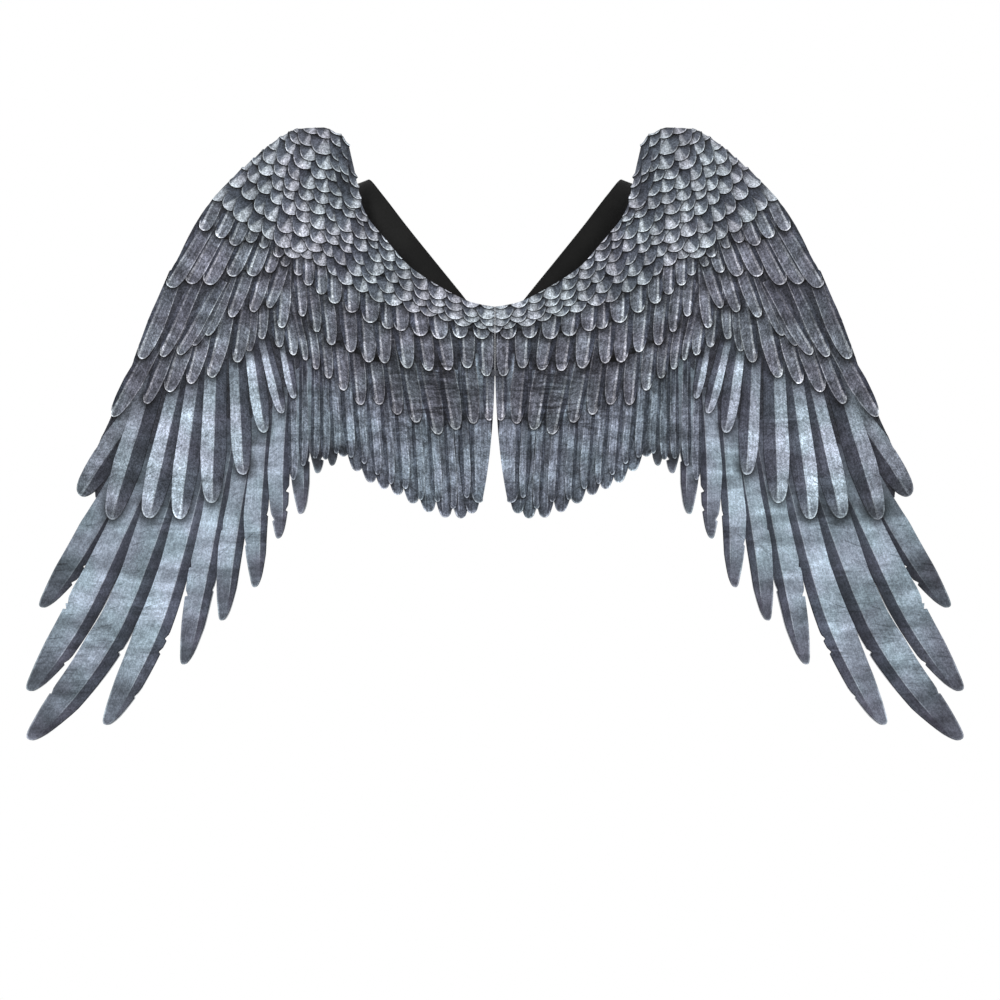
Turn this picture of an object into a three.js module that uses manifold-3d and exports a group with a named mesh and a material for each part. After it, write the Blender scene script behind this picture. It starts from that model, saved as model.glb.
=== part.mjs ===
// A pair of worn costume wings: two mirrored cloth wings, cut and layered in rows of
// feathers, and the two elastic straps that carry them on the shoulders.
// Millimetres. +X is the wearer's right, +Y the way the wearer faces, +Z up.
// The origin is on the inner face of the cloth, at the top of the centre seam.

import * as THREE from 'three';
import { mergeVertices } from 'three/addons/utils/BufferGeometryUtils.js';
import Module from 'manifold-3d';

const wasm = await Module();
wasm.setup();

// Overall sizes of one wing.
const wingReach = 472; // centre seam to the outermost feather tip
const wingHeight = 613; // lowest feather tip to the crest over the shoulder

// Cloth.
const clothWall = 1.8; // the lowest layer, the flight feathers
const rowStep = 0.3; // each row of coverts lies this much above the row below it
const seamGap = 0.3; // between the two wings along the sewn seam
const seamLength = 66; // sewn part, from the neckline down
const slitSpread = 12; // from the centre to the cloth's edge at the slit's foot
const slitLength = 124; // from the end of the seam to the slit's foot

// How far the worn cloth stands off the flat.
const bladeBulge = 10; // backwards over the shoulder blades
const outerSweep = 72; // forwards at the outermost tips
const shoulderLean = 14; // forwards from the shoulder blades to the crest
const edgeRoll = 24; // forwards again along the rolled top edge
const rollWidth = 42; // width of that roll
const hemWave = 5; // ripple of the feathered hem
const wavePitch = 96; // from one ripple to the next

// Straps.
const strapWidth = 30;
const strapWall = 1.6;
const strapClearance = 0.7; // between the sewn ends and the cloth
const chestDepth = 132; // from the cloth's inner face to the strap's front run
const strapSteps = 44; // sections along one strap

// Size of the facets.
const longestEdge = 44;
const longestNearEdge = 20; // along the rolled edge and under the straps' sewn ends

// Edge of the cloth from the outer wrist over the shoulder crest to the seam.
// Columns: out, as a share of wingReach; up, as a share of wingHeight.
const leadingEdge = [
  [0.845, -0.227],
  [0.808, -0.168],
  [0.765, -0.085],
  [0.725, -0.003],
  [0.685, 0.055],
  [0.634, 0.133],
  [0.574, 0.196],
  [0.488, 0.258],
  [0.440, 0.284],
  [0.398, 0.294],
  [0.346, 0.288],
  [0.314, 0.269],
  [0.301, 0.236],
  [0.291, 0.199],
];
const neckline = [
  [0.281, 0.165],
  [0.262, 0.136],
  [0.221, 0.100],
  [0.182, 0.066],
  [0.129, 0.038],
  [0.063, 0.011],
  [0.025, 0.003],
  [0.0, 0.0],
];

// Outline of a feather's tip. Columns: distance back from the tip, in feather widths;
// reach of the outer vane and of the inner vane, as shares of the width.
const roundTip = [
  [0.12, 0.27, 0.27],
  [0.70, 0.50, 0.50],
];
const taperedTip = [
  [0.10, 0.20, 0.20],
  [0.80, 0.40, 0.40],
  [2.60, 0.56, 0.56],
];
const sabreTip = [
  [0.06, 0.08, 0.14],
  [0.45, 0.18, 0.31],
  [1.40, 0.34, 0.47],
  [3.00, 0.47, 0.52],
];

// Rows of coverts, from the highest layer, the lesser coverts, to the lowest, the outer
// greater coverts. Feathers stand at even steps along the line of their tips, and count
// is how many there are.
// edgeFrom is the station of the leading edge where the cloth above the row begins.
// Columns of tips: out and up, as above; lean in degrees, outwards; width and length,
// as shares of wingReach.
const covertRows = [
  {
    layer: 4,
    tipShape: roundTip,
    count: 19,
    edgeFrom: 4,
    tips: [
      [0.686, 0.034, 32, 0.040, 0.11],
      [0.600, 0.041, 27, 0.040, 0.11],
      [0.513, 0.051, 20, 0.038, 0.10],
      [0.445, 0.054, 8, 0.034, 0.10],
      [0.390, 0.034, -3, 0.032, 0.10],
      [0.335, 0.005, -2, 0.036, 0.10],
      [0.261, -0.026, -2, 0.040, 0.10],
      [0.196, -0.039, -5, 0.042, 0.10],
      [0.114, -0.052, -8, 0.042, 0.09],
      [0.020, -0.052, 0, 0.044, 0.05],
    ],
  },
  {
    layer: 3,
    tipShape: roundTip,
    count: 19,
    edgeFrom: 3,
    tips: [
      [0.747, -0.083, 22, 0.048, 0.16],
      [0.607, -0.046, 24, 0.046, 0.16],
      [0.475, -0.002, 15, 0.042, 0.15],
      [0.372, -0.041, -6, 0.038, 0.14],
      [0.264, -0.090, -5, 0.044, 0.14],
      [0.138, -0.104, -9, 0.044, 0.13],
      [0.018, -0.113, -2, 0.042, 0.13],
    ],
  },
  {
    layer: 2,
    tipShape: roundTip,
    count: 19,
    edgeFrom: 2,
    tips: [
      [0.809, -0.177, 30, 0.056, 0.20],
      [0.642, -0.124, 16, 0.054, 0.20],
      [0.489, -0.052, 4, 0.056, 0.18],
      [0.374, -0.101, -8, 0.048, 0.15],
      [0.282, -0.159, -6, 0.042, 0.15],
      [0.163, -0.188, -10, 0.046, 0.14],
      [0.018, -0.186, -3, 0.042, 0.14],
    ],
  },
  {
    layer: 1,
    tipShape: roundTip,
    count: 9,
    edgeFrom: 1,
    tips: [
      [0.882, -0.306, 36, 0.068, 0.26],
      [0.732, -0.343, 14, 0.080, 0.34],
      [0.595, -0.318, 2, 0.078, 0.34],
      [0.485, -0.204, -8, 0.070, 0.27],
      [0.422, -0.148, -11, 0.056, 0.22],
    ],
  },
];

// The hanging hem feathers between the flight feathers and the slit, as a row.
const hemRow = {
  tipShape: taperedTip,
  count: 11,
  tips: [
    [0.318, -0.243, -4, 0.042, 0.26],
    [0.261, -0.285, -5, 0.044, 0.26],
    [0.203, -0.305, -5, 0.044, 0.26],
    [0.138, -0.333, -4, 0.046, 0.27],
    [0.072, -0.343, -2, 0.044, 0.27],
    [0.034, -0.318, -1, 0.052, 0.25],
  ],
};

// Flight feathers, from the outermost to the innermost, each on a bent shaft.
// Columns: out and up of the root, of the bend and of the tip, as above; width, as a
// share of wingReach.
const flightFeathers = [
  [0.745, -0.215, 0.862, -0.370, 0.966, -0.488, 0.066],
  [0.715, -0.225, 0.869, -0.476, 0.994, -0.625, 0.080],
  [0.655, -0.190, 0.803, -0.510, 0.994, -0.705, 0.085],
  [0.600, -0.180, 0.712, -0.495, 0.828, -0.680, 0.074],
  [0.556, -0.180, 0.617, -0.425, 0.661, -0.581, 0.064],
  [0.515, -0.180, 0.556, -0.380, 0.576, -0.509, 0.053],
  [0.488, -0.165, 0.505, -0.330, 0.508, -0.455, 0.052],
  [0.446, -0.130, 0.457, -0.260, 0.458, -0.376, 0.049],
  [0.410, -0.100, 0.413, -0.230, 0.409, -0.336, 0.046],
  [0.380, -0.085, 0.379, -0.190, 0.373, -0.270, 0.043],
  [0.348, -0.085, 0.348, -0.190, 0.343, -0.258, 0.042],
];

// Run of a strap, from its sewn end beside the seam, over the shoulder, down the front
// and under the arm to its sewn end on the wing.
// Columns: out, as a share of wingReach; up, as a share of wingHeight; forward, as a
// share of chestDepth, or onCloth where it lies on the wing; then the direction that
// the strap's width points in.
const onCloth = null;
const strapRun = [
  [0.030, -0.059, onCloth, 0.78, 0.0, -0.63],
  [0.058, -0.031, onCloth, 0.78, 0.0, -0.63],
  [0.087, -0.002, onCloth, 0.78, 0.0, -0.63],
  [0.152, 0.060, 0.045, 0.78, 0.0, -0.63],
  [0.212, 0.118, 0.125, 0.80, 0.0, -0.60],
  [0.263, 0.170, 0.275, 0.88, 0.0, -0.46],
  [0.297, 0.202, 0.480, 0.94, 0.0, -0.34],
  [0.307, 0.189, 0.730, 0.96, 0.0, -0.28],
  [0.301, 0.139, 0.930, 0.99, 0.0, -0.12],
  [0.282, 0.070, 1.000, 1.00, 0.0, 0.0],
  [0.270, 0.012, 0.930, 0.90, 0.3, 0.30],
  [0.278, -0.028, 0.740, 0.50, 0.2, 0.84],
  [0.272, -0.050, 0.520, 0.15, 0.1, 0.98],
  [0.240, -0.074, 0.300, -0.10, 0.1, 0.99],
  [0.190, -0.105, 0.110, -0.25, 0.1, 0.96],
  [0.140, -0.132, onCloth, -0.40, 0.0, 0.92],
  [0.114, -0.144, onCloth, -0.40, 0.0, 0.92],
  [0.088, -0.156, onCloth, -0.40, 0.0, 0.92],
];

const printedCloth = new THREE.MeshStandardMaterial({ color: 0x747b86, roughness: 0.92, metalness: 0 });
const blackElastic = new THREE.MeshStandardMaterial({ color: 0x1c1c1c, roughness: 0.8, metalness: 0 });

const place = (out, up) => new THREE.Vector2(out * wingReach, up * wingHeight);
const clamp = (value) => Math.min(1, Math.max(0, value));
const smooth = (value) => clamp(value) ** 2 * (3 - 2 * clamp(value));

const edgeStations = [...leadingEdge, ...neckline].map(([out, up]) => place(out, up));
const edgeLine = new THREE.SplineCurve(edgeStations).getPoints((edgeStations.length - 1) * 4);

// Distance from a place on the flat wing to its leading edge.
function edgeDistance(out, up) {
  const point = new THREE.Vector3(out, up, 0);
  const nearest = new THREE.Vector3();
  let least = Infinity;
  for (let i = 1; i < edgeLine.length; i += 1) {
    const start = new THREE.Vector3(edgeLine[i - 1].x, edgeLine[i - 1].y, 0);
    const end = new THREE.Vector3(edgeLine[i].x, edgeLine[i].y, 0);
    new THREE.Line3(start, end).closestPointToPoint(point, true, nearest);
    least = Math.min(least, nearest.distanceTo(point));
  }
  return least;
}

// How far forward the inner face of the worn cloth lies, above its place on the flat.
function depth(out, up) {
  const bladeOut = 0.25 * wingReach;
  const bladeUp = 0.03 * wingHeight;
  const bladeSpread = 0.16 * wingReach;
  const fromBlade = Math.hypot(out - bladeOut, 0.8 * (up - bladeUp)) / bladeSpread;
  const bulge = -bladeBulge * Math.exp(-(fromBlade ** 2));
  const sweep = outerSweep * clamp((out / wingReach - 0.3) / 0.7) ** 1.6;
  const lean = shoulderLean * clamp((up / wingHeight - 0.07) / 0.22) ** 2;
  const shoulder = smooth((up / wingHeight - 0.1) / 0.13);
  const wrist = 0.3 * smooth((out / wingReach - 0.53) / 0.17);
  const inRoll = clamp(1 - edgeDistance(out, up) / rollWidth);
  const roll = edgeRoll * Math.max(shoulder, wrist) * inRoll ** 2;
  const hanging = smooth((-up / wingHeight - 0.16) / 0.16);
  const wave = hemWave * hanging * Math.sin((2 * Math.PI * out) / wavePitch + 0.6);
  return bulge + sweep + lean + roll + wave;
}

// Unit normal of the inner face, pointing at the wearer. The two wings meet square at
// the seam.
function inwardNormal(out, up) {
  const step = 0.5;
  const meet = smooth(out / (0.05 * wingReach));
  const slopeOut = meet * (depth(out + step, up) - depth(out - step, up)) / (2 * step);
  const slopeUp = (depth(out, up + step) - depth(out, up - step)) / (2 * step);
  return new THREE.Vector3(-slopeOut, 1, -slopeUp).normalize();
}

// A flat outline raised to a plate, as a solid.
function plate(outline, height) {
  const shape = new THREE.Shape(outline);
  const geometry = new THREE.ExtrudeGeometry(shape, { depth: height, bevelEnabled: false });
  geometry.deleteAttribute('normal');
  geometry.deleteAttribute('uv');
  const merged = mergeVertices(geometry, 1e-4);
  return new wasm.Manifold(new wasm.Mesh({
    numProp: 3,
    vertProperties: new Float32Array(merged.attributes.position.array),
    triVerts: new Uint32Array(merged.index.array),
  }));
}

// Outline of a feather along a shaft: down the outer vane, round the tip and back.
function featherOutline(shaft, width, tipShape) {
  const length = shaft.getLength();
  const rootWidth = 0.42;
  const outer = [];
  const inner = [];
  const station = (along, outerReach, innerReach) => {
    const centre = shaft.getPointAt(along);
    const heading = shaft.getTangentAt(along);
    const outwards = new THREE.Vector2(-heading.y, heading.x);
    outer.push(centre.clone().addScaledVector(outwards, outerReach * width));
    inner.unshift(centre.clone().addScaledVector(outwards, -innerReach * width));
  };
  station(0, rootWidth, rootWidth);
  for (const [back, outerReach, innerReach] of [...tipShape].reverse()) {
    station(clamp(1 - (back * width) / length), outerReach, innerReach);
  }
  return [...outer, shaft.getPointAt(1), ...inner];
}

// The feathers of one row, each with its shaft and width.
function rowFeathers(row) {
  const tipLine = new THREE.SplineCurve(row.tips.map(([out, up]) => place(out, up)));
  const column = (share, index) => {
    const at = share * (row.tips.length - 1);
    const low = Math.min(Math.floor(at), row.tips.length - 2);
    return THREE.MathUtils.lerp(row.tips[low][index], row.tips[low + 1][index], at - low);
  };
  const feathers = [];
  for (let i = 0; i < row.count; i += 1) {
    const share = i / (row.count - 1);
    const tip = tipLine.getPoint(share);
    const lean = THREE.MathUtils.degToRad(column(share, 2));
    const length = column(share, 4) * wingReach;
    const root = new THREE.Vector2(tip.x - length * Math.sin(lean), tip.y + length * Math.cos(lean));
    feathers.push({ shaft: new THREE.LineCurve(root, tip), width: column(share, 3) * wingReach });
  }
  return feathers;
}

// The flight feathers, each with its bent shaft and its width.
function flightRow() {
  return flightFeathers.map(([rootOut, rootUp, bendOut, bendUp, tipOut, tipUp, width]) => {
    const stations = [place(rootOut, rootUp), place(bendOut, bendUp), place(tipOut, tipUp)];
    return { shaft: new THREE.SplineCurve(stations), width: width * wingReach };
  });
}

// The cloth above a row: from the row's shafts up to the leading edge and the seam.
function clothAbove(edgeFrom, feathers) {
  const shaftShare = 0.45;
  const first = edgeStations[edgeFrom];
  const start = edgeLine.findIndex((point) => point.distanceTo(first) < 1e-6);
  const shafts = feathers.map(({ shaft }) => shaft.getPoint(shaftShare)).reverse();
  return [...edgeLine.slice(start), new THREE.Vector2(0, shafts[0].y), ...shafts];
}

// The slit and the seam allowance, cut away from the inner edge of a wing.
function innerCut() {
  const foot = -seamLength - slitLength;
  const beyond = 100;
  const slit = new THREE.QuadraticBezierCurve(
    new THREE.Vector2(seamGap / 2, -seamLength),
    new THREE.Vector2(0.15 * slitSpread, -seamLength - 0.6 * slitLength),
    new THREE.Vector2(slitSpread, foot),
  );
  return [
    new THREE.Vector2(-beyond, beyond),
    new THREE.Vector2(-beyond, foot - beyond),
    new THREE.Vector2(slitSpread, foot - beyond),
    ...slit.getPoints(6).reverse(),
    new THREE.Vector2(seamGap / 2, beyond),
  ];
}

// One wing laid flat: x is out, y is up and z is the height above the inner face.
function flatWing() {
  let wing = null;
  const lay = (outline, layer) => {
    const piece = plate(outline, clothWall + layer * rowStep);
    wing = wing ? wing.add(piece) : piece;
  };
  const layFeathers = (feathers, tipShape, layer, edgeFrom) => {
    for (const { shaft, width } of feathers) {
      lay(featherOutline(shaft, width, tipShape), layer);
    }
    lay(clothAbove(edgeFrom, feathers), layer);
  };
  for (const row of covertRows) {
    layFeathers(rowFeathers(row), row.tipShape, row.layer, row.edgeFrom);
  }
  layFeathers(flightRow(), sabreTip, 0, 0);
  layFeathers(rowFeathers(hemRow), hemRow.tipShape, 0, 0);
  const height = clothWall + covertRows.length * rowStep;
  const cut = plate(innerCut(), 3 * height).translate([0, 0, -height]);
  return wing.subtract(cut);
}

// Corners and triangles of a solid.
function meshOf(solid) {
  const mesh = solid.getMesh();
  const points = [];
  for (let i = 0; i < mesh.vertProperties.length; i += mesh.numProp) {
    points.push(new THREE.Vector3(...mesh.vertProperties.slice(i, i + 3)));
  }
  const triangles = [];
  for (let i = 0; i < mesh.triVerts.length; i += 3) {
    triangles.push([...mesh.triVerts.slice(i, i + 3)]);
  }
  return { points, triangles };
}

// For each edge, the triangles on its two sides.
function edgeMap(triangles) {
  const edges = new Map();
  triangles.forEach((corners, index) => {
    for (let side = 0; side < 3; side += 1) {
      const a = corners[side];
      const b = corners[(side + 1) % 3];
      const key = a < b ? `${a} ${b}` : `${b} ${a}`;
      if (!edges.has(key)) edges.set(key, []);
      edges.get(key).push(index);
    }
  });
  return edges;
}

// The corner of a triangle that isn't on the edge from a to b.
const across = (corners, a, b) => corners.find((corner) => corner !== a && corner !== b);

// Whether the triangle names the edge from a to b in that order.
const runs = (corners, a, b) => corners[(corners.indexOf(a) + 1) % 3] === b;

function angleAt(points, corner, a, b) {
  const toA = points[a].clone().sub(points[corner]);
  const toB = points[b].clone().sub(points[corner]);
  return toA.angleTo(toB);
}

// Turns the edges inside flat faces until no triangle is thinner than it has to be.
function evenOut(points, triangles) {
  const level = (ids) => ids.every((id) => Math.abs(points[id].z - points[ids[0]].z) < 1e-4);
  const side = (a, b, c) => (
    (points[b].x - points[a].x) * (points[c].y - points[a].y)
    - (points[b].y - points[a].y) * (points[c].x - points[a].x)
  );
  let turned = true;
  for (let pass = 0; turned && pass < 40; pass += 1) {
    turned = false;
    const touched = new Set();
    for (const [key, owners] of edgeMap(triangles)) {
      if (owners.length !== 2 || owners.some((owner) => touched.has(owner))) continue;
      let [a, b] = key.split(' ').map(Number);
      if (!runs(triangles[owners[0]], a, b)) [a, b] = [b, a];
      const left = across(triangles[owners[0]], a, b);
      const right = across(triangles[owners[1]], a, b);
      if (!level([a, b, left, right])) continue;
      const facing = Math.sign(side(a, b, left));
      const convex = facing * side(right, b, left) > 1e-3 && facing * side(left, a, right) > 1e-3;
      const sum = angleAt(points, left, a, b) + angleAt(points, right, a, b);
      if (!convex || sum < Math.PI + 1e-6) continue;
      triangles[owners[0]] = [right, b, left];
      triangles[owners[1]] = [left, a, right];
      owners.forEach((owner) => touched.add(owner));
      turned = true;
    }
  }
}

// Halves the long edges, so that the flat mesh can follow the worn form.
function refine({ points, triangles }) {
  const span = (a, b) => points[a].distanceTo(points[b]);
  for (let pass = 0; pass < 30; pass += 1) {
    evenOut(points, triangles);
    const long = [];
    for (const [key, owners] of edgeMap(triangles)) {
      const [a, b] = key.split(' ').map(Number);
      const middle = points[a].clone().add(points[b]).multiplyScalar(0.5);
      const underStrap = middle.x < 0.2 * wingReach && middle.y > -0.2 * wingHeight;
      const near = underStrap || edgeDistance(middle.x, middle.y) < rollWidth;
      const length = span(a, b);
      if (length > (near ? longestNearEdge : longestEdge)) {
        long.push({ a, b, owners, middle, length });
      }
    }
    if (long.length === 0) break;
    long.sort((one, other) => other.length - one.length);
    const used = new Set();
    for (const { a, b, owners, middle } of long) {
      if (owners.some((owner) => used.has(owner))) continue;
      const added = points.push(middle) - 1;
      for (const owner of owners) {
        const [first, second] = runs(triangles[owner], a, b) ? [a, b] : [b, a];
        const far = across(triangles[owner], a, b);
        triangles[owner] = [first, added, far];
        used.add(triangles.push([added, second, far]) - 1);
        used.add(owner);
      }
    }
  }
  return { points, triangles };
}

// A mesh of points and triangles as a geometry, mirrored for the wearer's left.
function geometryOf(points, triangles, hand) {
  const geometry = new THREE.BufferGeometry();
  const flat = points.flatMap((point) => [hand * point.x, point.y, point.z]);
  const wound = triangles.flatMap(([a, b, c]) => (hand > 0 ? [a, b, c] : [a, c, b]));
  geometry.setAttribute('position', new THREE.Float32BufferAttribute(flat, 3));
  geometry.setIndex(wound);
  geometry.computeVertexNormals();
  return geometry;
}

// Bends the flat wing to the form that it has when worn.
function wornWing() {
  const { points, triangles } = refine(meshOf(flatWing()));
  const worn = points.map(({ x, y, z }) => (
    new THREE.Vector3(x, depth(x, y), y).addScaledVector(inwardNormal(x, y), -z)
  ));
  return { points: worn, triangles };
}

// Where a strap lies flat on the cloth: its middle, clear of the cloth under both its
// edges, and the direction of its width.
function seatOnCloth(out, up, widthOut, widthUp) {
  const reach = strapWidth / 2;
  const seat = strapClearance + strapWall / 2;
  const outerEdge = depth(out + reach * widthOut, up + reach * widthUp);
  const innerEdge = depth(out - reach * widthOut, up - reach * widthUp);
  const forward = Math.max(depth(out, up), (outerEdge + innerEdge) / 2);
  return {
    centre: new THREE.Vector3(out, forward, up).addScaledVector(inwardNormal(out, up), seat),
    width: new THREE.Vector3(widthOut, (outerEdge - innerEdge) / (2 * reach), widthUp),
  };
}

// A strap as a flat band swept along its run.
function strap() {
  const centres = [];
  const widths = [];
  for (const [out, up, forward, widthX, widthY, widthZ] of strapRun) {
    const { x, y } = place(out, up);
    const seated = seatOnCloth(x, y, widthX, widthZ);
    const lies = forward === onCloth;
    centres.push(lies ? seated.centre : new THREE.Vector3(x, forward * chestDepth, y));
    widths.push(lies ? seated.width : new THREE.Vector3(widthX, widthY, widthZ));
  }
  const line = new THREE.CatmullRomCurve3(centres, false, 'centripetal');
  const turn = new THREE.CatmullRomCurve3(widths, false, 'catmullrom');
  const points = [];
  const triangles = [];
  for (let step = 0; step <= strapSteps; step += 1) {
    const share = step / strapSteps;
    const centre = line.getPoint(share);
    const heading = line.getTangent(share);
    const width = turn.getPoint(share);
    const seated = seatOnCloth(centre.x, centre.z, width.x, width.z);
    if (seated.centre.y > centre.y) {
      centre.copy(seated.centre);
      width.copy(seated.width);
    }
    width.addScaledVector(heading, -width.dot(heading)).normalize();
    const face = new THREE.Vector3().crossVectors(heading, width);
    for (const [across, through] of [[-1, -1], [1, -1], [1, 1], [-1, 1]]) {
      points.push(centre.clone()
        .addScaledVector(width, (across * strapWidth) / 2)
        .addScaledVector(face, (through * strapWall) / 2));
    }
  }
  for (let step = 0; step < strapSteps; step += 1) {
    for (let side = 0; side < 4; side += 1) {
      const a = 4 * step + side;
      const b = 4 * step + ((side + 1) % 4);
      triangles.push([a, b, b + 4], [a, b + 4, a + 4]);
    }
  }
  const last = 4 * strapSteps;
  triangles.push([0, 2, 1], [0, 3, 2], [last, last + 1, last + 2], [last, last + 2, last + 3]);
  return { points, triangles };
}

const wings = new THREE.Group();
const oneWing = wornWing();
const oneStrap = strap();
for (const [side, hand] of [['left', -1], ['right', 1]]) {
  const wing = new THREE.Mesh(geometryOf(oneWing.points, oneWing.triangles, hand), printedCloth);
  wing.name = `wing_${side}`;
  wings.add(wing);
  const band = new THREE.Mesh(geometryOf(oneStrap.points, oneStrap.triangles, hand), blackElastic);
  band.name = `strap_${side}`;
  wings.add(band);
}

export default wings;
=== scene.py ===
"""The looks of a pair of worn costume wings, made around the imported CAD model.

Blender works in metres here. +X is the wearer's right, +Y the way the wearer faces and
+Z up, so the printed faces look along -Y.
"""

import math
import random

import bpy
import numpy as np
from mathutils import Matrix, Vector, geometry, noise


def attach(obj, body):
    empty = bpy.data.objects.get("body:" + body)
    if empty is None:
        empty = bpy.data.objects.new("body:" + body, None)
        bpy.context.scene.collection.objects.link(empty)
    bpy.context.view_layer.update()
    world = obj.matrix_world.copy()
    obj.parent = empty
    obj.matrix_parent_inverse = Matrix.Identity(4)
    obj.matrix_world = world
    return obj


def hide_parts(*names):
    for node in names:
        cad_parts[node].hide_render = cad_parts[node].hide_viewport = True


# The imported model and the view
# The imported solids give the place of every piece. The camera stands far off and looks
# level at the printed faces.

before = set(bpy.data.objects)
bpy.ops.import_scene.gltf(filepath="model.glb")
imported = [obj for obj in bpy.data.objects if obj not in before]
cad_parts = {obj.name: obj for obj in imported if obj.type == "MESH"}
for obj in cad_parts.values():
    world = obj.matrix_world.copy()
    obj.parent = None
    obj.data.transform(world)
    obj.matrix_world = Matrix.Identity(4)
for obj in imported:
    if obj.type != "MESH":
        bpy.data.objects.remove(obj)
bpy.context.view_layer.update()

MM = 0.001
VIEW_DISTANCE = 5.52
VIEW_LENS = 200.0
VIEW_CENTRE = (0.005, -0.192)


def add_object(name, data):
    """An object in the scene."""
    item = bpy.data.objects.new(name, data)
    bpy.context.scene.collection.objects.link(item)
    return item


camera_data = bpy.data.cameras.new("camera")
camera_data.lens = VIEW_LENS
camera_data.sensor_width = 36.0
camera_data.clip_end = 100.0
camera = add_object("camera", camera_data)
camera.location = (VIEW_CENTRE[0], -VIEW_DISTANCE, VIEW_CENTRE[1])
camera.rotation_euler = (math.radians(90), 0, 0)
bpy.context.scene.camera = camera

# The form of a worn wing
# Each wing is one die-cut panel of soft cloth. It bulges over the shoulder blade, sweeps
# forwards to its outer tips and rolls over the shoulder. Millimetres, on the flat panel:
# out from the centre seam and up from the neckline's lowest point.

WING_REACH = 472.0
WING_HEIGHT = 613.0
CLOTH_WALL = 1.8
ROW_STEP = 0.3
SEAM_GAP = 0.3
SEAM_LENGTH = 66.0
SLIT_SPREAD = 12.0
SLIT_LENGTH = 124.0
BLADE_BULGE = 10.0
OUTER_SWEEP = 72.0
SHOULDER_LEAN = 14.0
EDGE_ROLL = 24.0
ROLL_WIDTH = 42.0
HEM_WAVE = 5.0
WAVE_PITCH = 96.0
WAVE_START = 0.6

# Where each bend of the cloth lies: middle and reach of the bulge, and start and run of
# the others, as shares of the wing's reach or height. BLADE_STRETCH draws the bulge out
# upwards, SWEEP_POWER is how late the sweep sets in, WRIST_ROLL the share of the roll at
# the wrist, and WAVE_START turns the hem's wave, in radians.
BLADE_OUT = 0.25
BLADE_UP = 0.03
BLADE_REACH = 0.16
BLADE_STRETCH = 0.8
SWEEP_FROM, SWEEP_RUN = 0.3, 0.7
SWEEP_POWER = 1.6
LEAN_FROM, LEAN_RUN = 0.07, 0.22
SHOULDER_FROM, SHOULDER_RUN = 0.1, 0.13
WRIST_FROM, WRIST_RUN = 0.53, 0.17
WRIST_ROLL = 0.3
HANGING_FROM, HANGING_RUN = 0.16, 0.16

# Edge of the cloth from the outer wrist over the crest to the seam.
# Columns: out and up, as shares of the wing's reach and height.
LEADING_EDGE = [
    (0.845, -0.227),
    (0.808, -0.168),
    (0.765, -0.085),
    (0.725, -0.003),
    (0.685, 0.055),
    (0.634, 0.133),
    (0.574, 0.196),
    (0.488, 0.258),
    (0.440, 0.284),
    (0.398, 0.294),
    (0.346, 0.288),
    (0.314, 0.269),
    (0.301, 0.236),
    (0.291, 0.199),
]
NECKLINE = [
    (0.281, 0.165),
    (0.262, 0.136),
    (0.221, 0.100),
    (0.182, 0.066),
    (0.129, 0.038),
    (0.063, 0.011),
    (0.025, 0.003),
    (0.0, 0.0),
]

# Creases pressed into the soft cloth where it hangs from the shoulder blades.
# Columns: out and up of the middle, in mm; length; half width; turn in degrees from
# level; height, away from the wearer.
CREASES = [
    (55, -62, 60, 4.5, -8, 2.2),
    (48, -82, 76, 4.0, 4, 2.6),
    (62, -101, 64, 4.5, -5, 2.2),
    (92, -68, 46, 3.5, -12, 1.2),
    (30, -72, 40, 3.5, 6, 1.2),
    (84, -90, 50, 3.5, 2, 1.4),
    (34, -92, 44, 3.5, -4, 1.4),
    (112, -104, 36, 3.5, -14, 1.0),
    (232, -226, 60, 5.0, -2, 1.0),
    (322, -176, 54, 5.0, 8, 1.0),
    (356, -262, 60, 4.5, 10, 1.0),
    (388, -282, 50, 4.0, 16, 1.0),
    (424, -345, 44, 4.5, 22, 1.0),
    (340, -345, 40, 4.5, 12, 1.0),
    (246, -140, 60, 4.0, -4, 0.8),
    (176, -120, 60, 4.5, 2, 0.8),
    (95, -118, 50, 4.5, 12, 1.8),
    (140, -92, 70, 8.0, 62, 1.6),
    (186, -96, 90, 9.0, 78, 1.8),
    (222, -120, 110, 9.0, 84, 1.6),
    (262, -150, 120, 10.0, 72, 1.6),
    (208, -30, 80, 8.0, 60, 1.2),
    (290, -110, 40, 4.5, 10, 1.0),
    (330, -215, 46, 4.5, 20, 1.2),
    (352, -300, 50, 5.0, 16, 1.3),
    (392, -330, 44, 5.0, 24, 1.2),
    (420, -380, 40, 4.5, 30, 1.0),
    (300, -262, 36, 4.0, 6, 1.0),
    (262, -236, 34, 4.0, 2, 1.0),
]

# Bend of each crease, per mm, and its spread along, as a share of its length.
CREASE_BEND = 0.0016
CREASE_SPREAD = 0.42

# Creases steeper than this, in degrees, are soft folds without the painted shade of fine
# wrinkles. The others get the painted shade and painted highlight of fine wrinkles over
# these shares of their length and half width, and fully from this height on, in mm.
STEEPEST_WRINKLE_SHADED = 45
WRINKLE_SHADE_ALONG = 0.5
WRINKLE_SHADE_BESIDE = 2.4
WRINKLE_SHADE_RISE = 2.2


def place(stations):
    """Stations given as shares, in mm."""
    return np.array(stations, float)[:, :2] * (WING_REACH, WING_HEIGHT)


def spline(stations, shares):
    """Points of a smooth line through stations, at shares of its whole run."""
    stations = np.asarray(stations, float)
    last = len(stations) - 1
    at = np.asarray(shares, float) * last
    low = np.clip(np.floor(at).astype(int), 0, last - 1)
    part = (at - low)[:, None]
    before = stations[np.maximum(low - 1, 0)]
    start = stations[low]
    end = stations[low + 1]
    after = stations[np.minimum(low + 2, last)]
    leave = (end - before) / 2
    arrive = (after - start) / 2
    cubic = 2 * start - 2 * end + leave + arrive
    square = -3 * start + 3 * end - 2 * leave - arrive
    return ((cubic * part + square) * part + leave) * part + start


def smooth(value):
    """0 below 0, 1 above 1 and a smooth ramp between them."""
    held = np.clip(value, 0, 1)
    return held**2 * (3 - 2 * held)


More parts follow.
